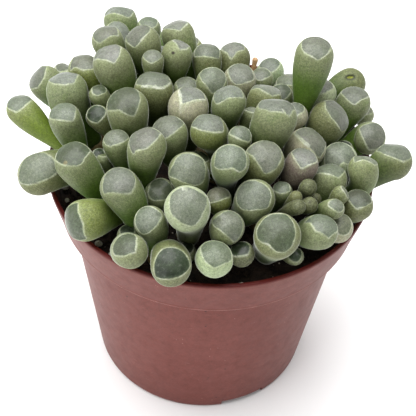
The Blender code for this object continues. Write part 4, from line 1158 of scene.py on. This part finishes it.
def build_pot(mat):
    outer = [(RIM_R - WALL + 0.25, POT_H - 0.0), (RIM_R - 0.12, POT_H), (RIM_R, POT_H - 0.5),
             (COLLAR_R + 0.04, Z_C + 0.6), (COLLAR_R + 0.02, Z_C), (BODY_TOP_R + 0.15, Z_C - 0.1),
             (BODY_TOP_R - 0.05, Z_C - 0.8), (body_r(0.8), 0.8), (BASE_R - 0.35, 0.0)]
    inner = [(BASE_R - WALL - 0.3, 0.0), (BASE_R - WALL - 0.3, FOOT_H), (0.05, FOOT_H)]
    inner2 = [(0.05, FOOT_H + FLOOR_T), (body_r(FOOT_H + FLOOR_T) - WALL, FOOT_H + FLOOR_T),
              (BODY_TOP_R - WALL, Z_C - 0.9), (COLLAR_R - WALL, Z_C + 0.9), (RIM_R - WALL + 0.05, POT_H - 0.4),
              (RIM_R - WALL + 0.25, POT_H)]
    prof = fillet(outer, 0.28) + fillet(inner, 0.25)
    # rows of points down the long straight runs, so that the wall takes marks
    dense = []
    full = prof + fillet(inner2, 0.28)
    for a, b in zip(full[:-1], full[1:]):
        n = max(1, int(math.dist(a, b) / 2.5))
        for k in range(n):
            t = k / n
            dense.append((a[0] + (b[0] - a[0]) * t, a[1] + (b[1] - a[1]) * t))
    dense.append(full[-1])
    pts = []
    for q in dense:
        if not pts or math.dist(q, pts[-1]) > 1e-4:
            pts.append(q)
    if math.dist(pts[0], pts[-1]) < 1e-4:
        pts.pop()
    seg = 192
    V, F = [], []
    for k in range(seg):
        a = 2 * math.pi * k / seg
        # thin plastic is never quite round
        oval = 1.0 + 0.0035 * math.cos(2 * a + 0.8) + 0.0015 * math.cos(3 * a + 2.0)
        for r, z in pts:
            s = 1 + (oval - 1) * (z / POT_H) ** 1.5
            V.append((r * s * math.cos(a) * MM, r * s * math.sin(a) * MM, z * MM))
    n = len(pts)
    for k in range(seg):
        kk = (k + 1) % seg
        for j in range(n):
            jj = (j + 1) % n
            F.append((k * n + j, kk * n + j, kk * n + jj, k * n + jj))
    me = bpy.data.meshes.new("pot_wall")
    me.from_pydata(V, [], F)
    bm = bmesh.new()
    bm.from_mesh(me)
    bmesh.ops.recalc_face_normals(bm, faces=bm.faces[:])
    bm.to_mesh(me)
    bm.free()
    me.update()
    ob = bpy.data.objects.new("pot_wall", me)
    bpy.context.scene.collection.objects.link(ob)
    cutters = []
    for ang in NOTCH_ANGLES:
        a = math.radians(ang)
        c = solid_box("notch", (6.0, NOTCH_W, 3.7), (BASE_R * math.cos(a), BASE_R * math.sin(a), 0.0), a, 0.35)
        cutters.append(c)
    for i in range(4):
        a = math.radians(NOTCH_ANGLES[0] + 60.0 + 120.0 * i)
        r = 0.0 if i == 3 else 14.5
        bm = bmesh.new()
        bmesh.ops.create_cone(bm, cap_ends=True, segments=40, radius1=HOLE_R * MM, radius2=HOLE_R * MM, depth=8 * MM)
        mm = bpy.data.meshes.new("hole")
        bm.to_mesh(mm)
        bm.free()
        c = bpy.data.objects.new("hole", mm)
        bpy.context.scene.collection.objects.link(c)
        c.location = (r * MM * math.cos(a), r * MM * math.sin(a), (FOOT_H + FLOOR_T / 2) * MM)
        cutters.append(c)
    for c in cutters:
        md = ob.modifiers.new("cut", "BOOLEAN")
        md.operation = "DIFFERENCE"
        md.solver = "EXACT"
        md.object = c
    bpy.context.view_layer.update()
    dg = bpy.context.evaluated_depsgraph_get()
    new = bpy.data.meshes.new_from_object(ob.evaluated_get(dg))
    ob.modifiers.clear()
    ob.data = new
    new.name = "pot_wall_cut"
    for c in cutters:
        bpy.data.objects.remove(c, do_unlink=True)
    new.shade_smooth()
    new.set_sharp_from_angle(angle=math.radians(40))
    co = np.empty(len(new.vertices) * 3)
    new.vertices.foreach_get("co", co)
    co = co.reshape(-1, 3) / MM
    rho = np.hypot(co[:, 0], co[:, 1])
    z = co[:, 2]
    # mask for the painted shade on the inside of the wall, and for the darker red of the rim's lip
    wall_in = np.interp(z, [0, Z_C - 0.9, Z_C + 0.9, POT_H], [BASE_R - WALL, BODY_TOP_R - WALL, COLLAR_R - WALL, RIM_R - WALL])
    inner_m = np.clip(1.0 - (rho - wall_in - 0.25) / 0.3, 0, 1) * (z > 3.0)
    lip = np.clip((z - POT_H + 0.55) / 0.45, 0, 1)
    attach(new, "inner", "FLOAT", np.maximum(inner_m, lip))
    new.materials.clear()
    new.materials.append(mat)
    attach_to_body(ob, "root")
    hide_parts("pot")
    return ob


FOOT_H, FLOOR_T, NOTCH_W, HOLE_R = 2.0, 1.2, 9.8, 2.6
NOTCH_ANGLES = (-63.0, 57.0, 177.0)


def solid_box(name, size, at, turn, bevel):
    bm = bmesh.new()
    bmesh.ops.create_cube(bm, size=1.0)
    for v in bm.verts:
        v.co = Vector((v.co.x * size[0] * MM, v.co.y * size[1] * MM, v.co.z * size[2] * MM))
    bmesh.ops.bevel(bm, geom=bm.edges[:], offset=bevel * MM, segments=3, affect="EDGES", profile=0.5)
    me = bpy.data.meshes.new(name)
    bm.to_mesh(me)
    bm.free()
    ob = bpy.data.objects.new(name, me)
    bpy.context.scene.collection.objects.link(ob)
    ob.location = [c * MM for c in at]
    ob.rotation_euler = (0, 0, turn)
    return ob


# ---------------------------------------------------------------- soil
def soil_material():
    m = Nodes("peat")
    p = m.coord()
    n1 = m.noise(p, 500.0, 4.0, 0.65)
    n2 = m.noise(p, 2200.0, 4.0, 0.7)
    col = m.mix(m.ramp(n1, 0.35, 0.68), lin(26, 21, 17), lin(52, 41, 32))
    col = m.mix(m.ramp(n2, 0.56, 0.76, 0.0, 0.7), col, lin(86, 70, 54))
    v = m.voronoi(p, 700.0)
    keep = m.ramp(m.noise(p, 300.0, 1.0), 0.60, 0.66)
    col = m.mix(m.math("MULTIPLY", m.ramp(v, 0.16, 0.08), keep), col, lin(176, 166, 150))
    m.put(m.bsdf.inputs["Base Color"], col)
    m.bsdf.inputs["Specular IOR Level"].default_value = 0.25
    m.put(m.bsdf.inputs["Roughness"], m.ramp(n1, 0.2, 0.8, 0.82, 0.98))
    m.link(m.bump(m.math("ADD", n1, m.math("MULTIPLY", n2, 0.6)), 0.8, 0.0004), m.bsdf.inputs["Normal"])
    return m.mat


def stone_material():
    m = Nodes("perlite")
    p = m.coord()
    n1 = m.noise(p, 1800.0, 4.0, 0.7)
    col = m.mix(m.ramp(n1, 0.35, 0.7), lin(226, 222, 212), lin(176, 168, 152))
    col = m.mix(m.ramp(m.noise(p, 900.0, 2.0), 0.58, 0.72, 0.0, 0.6), col, lin(110, 98, 82))
    m.put(m.bsdf.inputs["Base Color"], col)
    m.put(m.bsdf.inputs["Roughness"], m.ramp(n1, 0.2, 0.8, 0.75, 0.95))
    m.link(m.bump(n1, 0.7, 0.0003), m.bsdf.inputs["Normal"])
    return m.mat


def crumb(rs, c, r, flat=0.7):
    """A lumpy little grain: vertices and faces of a distorted icosphere."""
    v, f = ICO
    k = rs.uniform(0.65, 1.15, len(v))[:, None]
    s = np.array([rs.uniform(0.8, 1.3), rs.uniform(0.7, 1.1), rs.uniform(0.5, 0.9) * flat / 0.7])
    a = rs.uniform(0, 6.28)
    q = v * k * s * r
    ca, sa = math.cos(a), math.sin(a)
    x, y = q[:, 0] * ca - q[:, 1] * sa, q[:, 0] * sa + q[:, 1] * ca
    return np.stack([x, y, q[:, 2]], 1) + c, f


def ico(sub):
    bm = bmesh.new()
    bmesh.ops.create_icosphere(bm, subdivisions=sub, radius=1.0)
    v = np.array([q.co[:] for q in bm.verts])
    f = [tuple(x.index for x in q.verts) for q in bm.faces]
    bm.free()
    return v, f


ICO = ico(1)


def build_soil(mat, white):
    g = 0.3
    top_r = COLLAR_R - WALL - g + (RIM_R - COLLAR_R) * (COLLAR_H - SOIL_DROP - 0.9) / (COLLAR_H - 1.5)
    rs = np.random.RandomState(7)
    V, F = [], []
    seg = 160
    radii = list(np.linspace(0.6, top_r - 0.35, 62))
    for r in radii:
        for k in range(seg):
            a = 2 * math.pi * k / seg
            x, y = r * math.cos(a), r * math.sin(a)
            q = Vector((x * 0.55, y * 0.55, 0.0))
            z = float(soil_z(r)) - 0.25 + 0.34 * noise.noise(q) + 0.22 * noise.noise(q * 2.7) + 0.10 * noise.noise(q * 6.1)
            V.append((x, y, z))
    down = [(top_r, POT_H - SOIL_DROP - 0.7), (COLLAR_R - WALL - g, Z_C + 1.1), (BODY_TOP_R - WALL - g, Z_C - 1.2),
            (body_r(26.0) - WALL - g, 26.0), (body_r(FOOT_H + FLOOR_T + g) - WALL - g, FOOT_H + FLOOR_T + g),
            (1.0, FOOT_H + FLOOR_T + g)]
    for r, z in down:
        for k in range(seg):
            a = 2 * math.pi * k / seg
            V.append((r * math.cos(a), r * math.sin(a), z))
    rows = len(radii) + len(down)
    for j in range(rows - 1):
        for k in range(seg):
            kk = (k + 1) % seg
            F.append((j * seg + k, (j + 1) * seg + k, (j + 1) * seg + kk, j * seg + kk))
    V.append((0, 0, float(soil_z(0.0)) - 0.2))
    V.append((0, 0, FOOT_H + FLOOR_T + g))
    c0, c1 = len(V) - 2, len(V) - 1
    last = (rows - 1) * seg
    for k in range(seg):
        kk = (k + 1) % seg
        F.append((c0, k, kk))
        F.append((last + k, c1, last + kk))
    parts = [np.array(V)]
    off = len(V)
    # crumbs of bark and peat
    for _ in range(1500):
        a = rs.uniform(0, 2 * math.pi)
        r = (top_r - 0.9) * math.sqrt(rs.uniform(0.12, 1.0))
        s = rs.uniform(0.22, 0.62) * (1.0 if rs.rand() < 0.85 else 1.6)
        c = np.array([r * math.cos(a), r * math.sin(a), float(soil_z(r)) - 0.05 + 0.1 * rs.rand()])
        if r + s > top_r - 0.1:
            continue
        v, f = crumb(rs, c, s)
        parts.append(v)
        F += [tuple(i + off for i in q) for q in f]
        off += len(v)
    V = np.vstack(parts) * MM
    me = bpy.data.meshes.new("soil_surface")
    me.from_pydata(V.tolist(), [], F)
    me.update()
    me.shade_smooth()
    me.set_sharp_from_angle(angle=math.radians(45))
    me.materials.append(mat)
    ob = bpy.data.objects.new("soil_surface", me)
    bpy.context.scene.collection.objects.link(ob)
    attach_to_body(ob, "root")
    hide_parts("soil")
    # perlite: the larger grains in their CAD places; the small ones are pale specks in the peat's material
    for k in range(6):
        lo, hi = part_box("perlite_%d" % (k + 1))
        c = (np.array(lo) + np.array(hi)) / 2 / MM - AXIS
        r = float(np.max(np.array(hi) - np.array(lo))) / 2 / MM
        vv, ff = ico(3)
        q = []
        for p in vv:
            d = 1 + 0.22 * noise.noise(Vector(p) * 1.6 + Vector((k * 3.1, 0, 0))) + 0.10 * noise.noise(Vector(p) * 4.1)
            q.append(p * d * r * np.array([1.0, 0.85, 0.72]))
        me = bpy.data.meshes.new("perlite_grain_%d" % (k + 1))
        me.from_pydata(((np.array(q) + c - [0, 0, 0.22]) * MM).tolist(), [], ff)
        me.shade_smooth()
        me.materials.append(white)
        o = bpy.data.objects.new("perlite_grain_%d" % (k + 1), me)
        bpy.context.scene.collection.objects.link(o)
        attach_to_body(o, "root")
        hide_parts("perlite_%d" % (k + 1))


# ---------------------------------------------------------------- floor, light, camera
def stage_and_light():
    bm = bmesh.new()
    bmesh.ops.create_grid(bm, x_segments=1, y_segments=1, size=1.6)
    me = bpy.data.meshes.new("floor")
    bm.to_mesh(me)
    bm.free()
    fl = bpy.data.objects.new("floor", me)
    bpy.context.scene.collection.objects.link(fl)
    m = Nodes("floor_paper")
    p = m.coord()
    c = m.mix(m.noise(p, 30.0, 2.0), (0.90, 0.90, 0.90), (0.93, 0.93, 0.93))
    m.put(m.bsdf.inputs["Base Color"], c)
    m.bsdf.inputs["Roughness"].default_value = 0.9
    m.bsdf.inputs["Specular IOR Level"].default_value = 0.1
    me.materials.append(m.mat)

    w = bpy.data.worlds.new("studio")
    bpy.context.scene.world = w
    w.use_nodes = True
    bg = w.node_tree.nodes["Background"]
    bg.inputs["Color"].default_value = (1.0, 1.0, 1.0, 1.0)
    bg.inputs["Strength"].default_value = 0.52

    def area(name, loc, size, power, target=(0, 0, 0.04), colour=(1, 1, 1)):
        d = bpy.data.lights.new(name, "AREA")
        d.shape = "RECTANGLE"
        d.size, d.size_y = size
        d.energy = power
        d.color = colour
        o = bpy.data.objects.new(name, d)
        bpy.context.scene.collection.objects.link(o)
        o.location = loc
        o.rotation_euler = (Vector(target) - Vector(loc)).to_track_quat("-Z", "Y").to_euler()
        return o

    area("key", (-0.12, 0.12, 0.85), (1.0, 1.0), 15.5)
    area("fill", (-0.60, -0.45, 0.40), (0.6, 0.6), 2.6)


def camera():
    cam = bpy.data.cameras.new("camera")
    cam.sensor_width = 36.0
    cam.sensor_fit = "HORIZONTAL"
    cam.lens = 1299.9 / 416.0 * 36.0
    cam.clip_start = 0.01
    cam.clip_end = 10.0
    ob = bpy.data.objects.new("camera", cam)
    bpy.context.scene.collection.objects.link(ob)
    from mathutils import Matrix
    R = Matrix((PR.tolist(), PU.tolist(), (-FWD).tolist())).transposed()
    M = R.to_4x4()
    M.translation = Vector((EYE * MM).tolist())
    ob.matrix_world = M
    bpy.context.scene.camera = ob


# The pot's own axis, in the frame of the whole part
_lo, _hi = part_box("pot")
AXIS = np.array([(_lo[0] + _hi[0]) / 2, (_lo[1] + _hi[1]) / 2, 0.0]) / MM
BEFORE = set(bpy.data.objects)

leaf_mat = leaf_material()
build_leaves(leaf_mat)
build_pot(pot_material())
build_soil(soil_material(), stone_material())
stage_and_light()
camera()
for ob in set(bpy.data.objects) - BEFORE:
    ob.location = ob.location + Vector((AXIS * MM).tolist())
bpy.context.view_layer.update()
bpy.context.scene.view_settings.view_transform = "Standard"
bpy.context.scene.view_settings.look = "None"
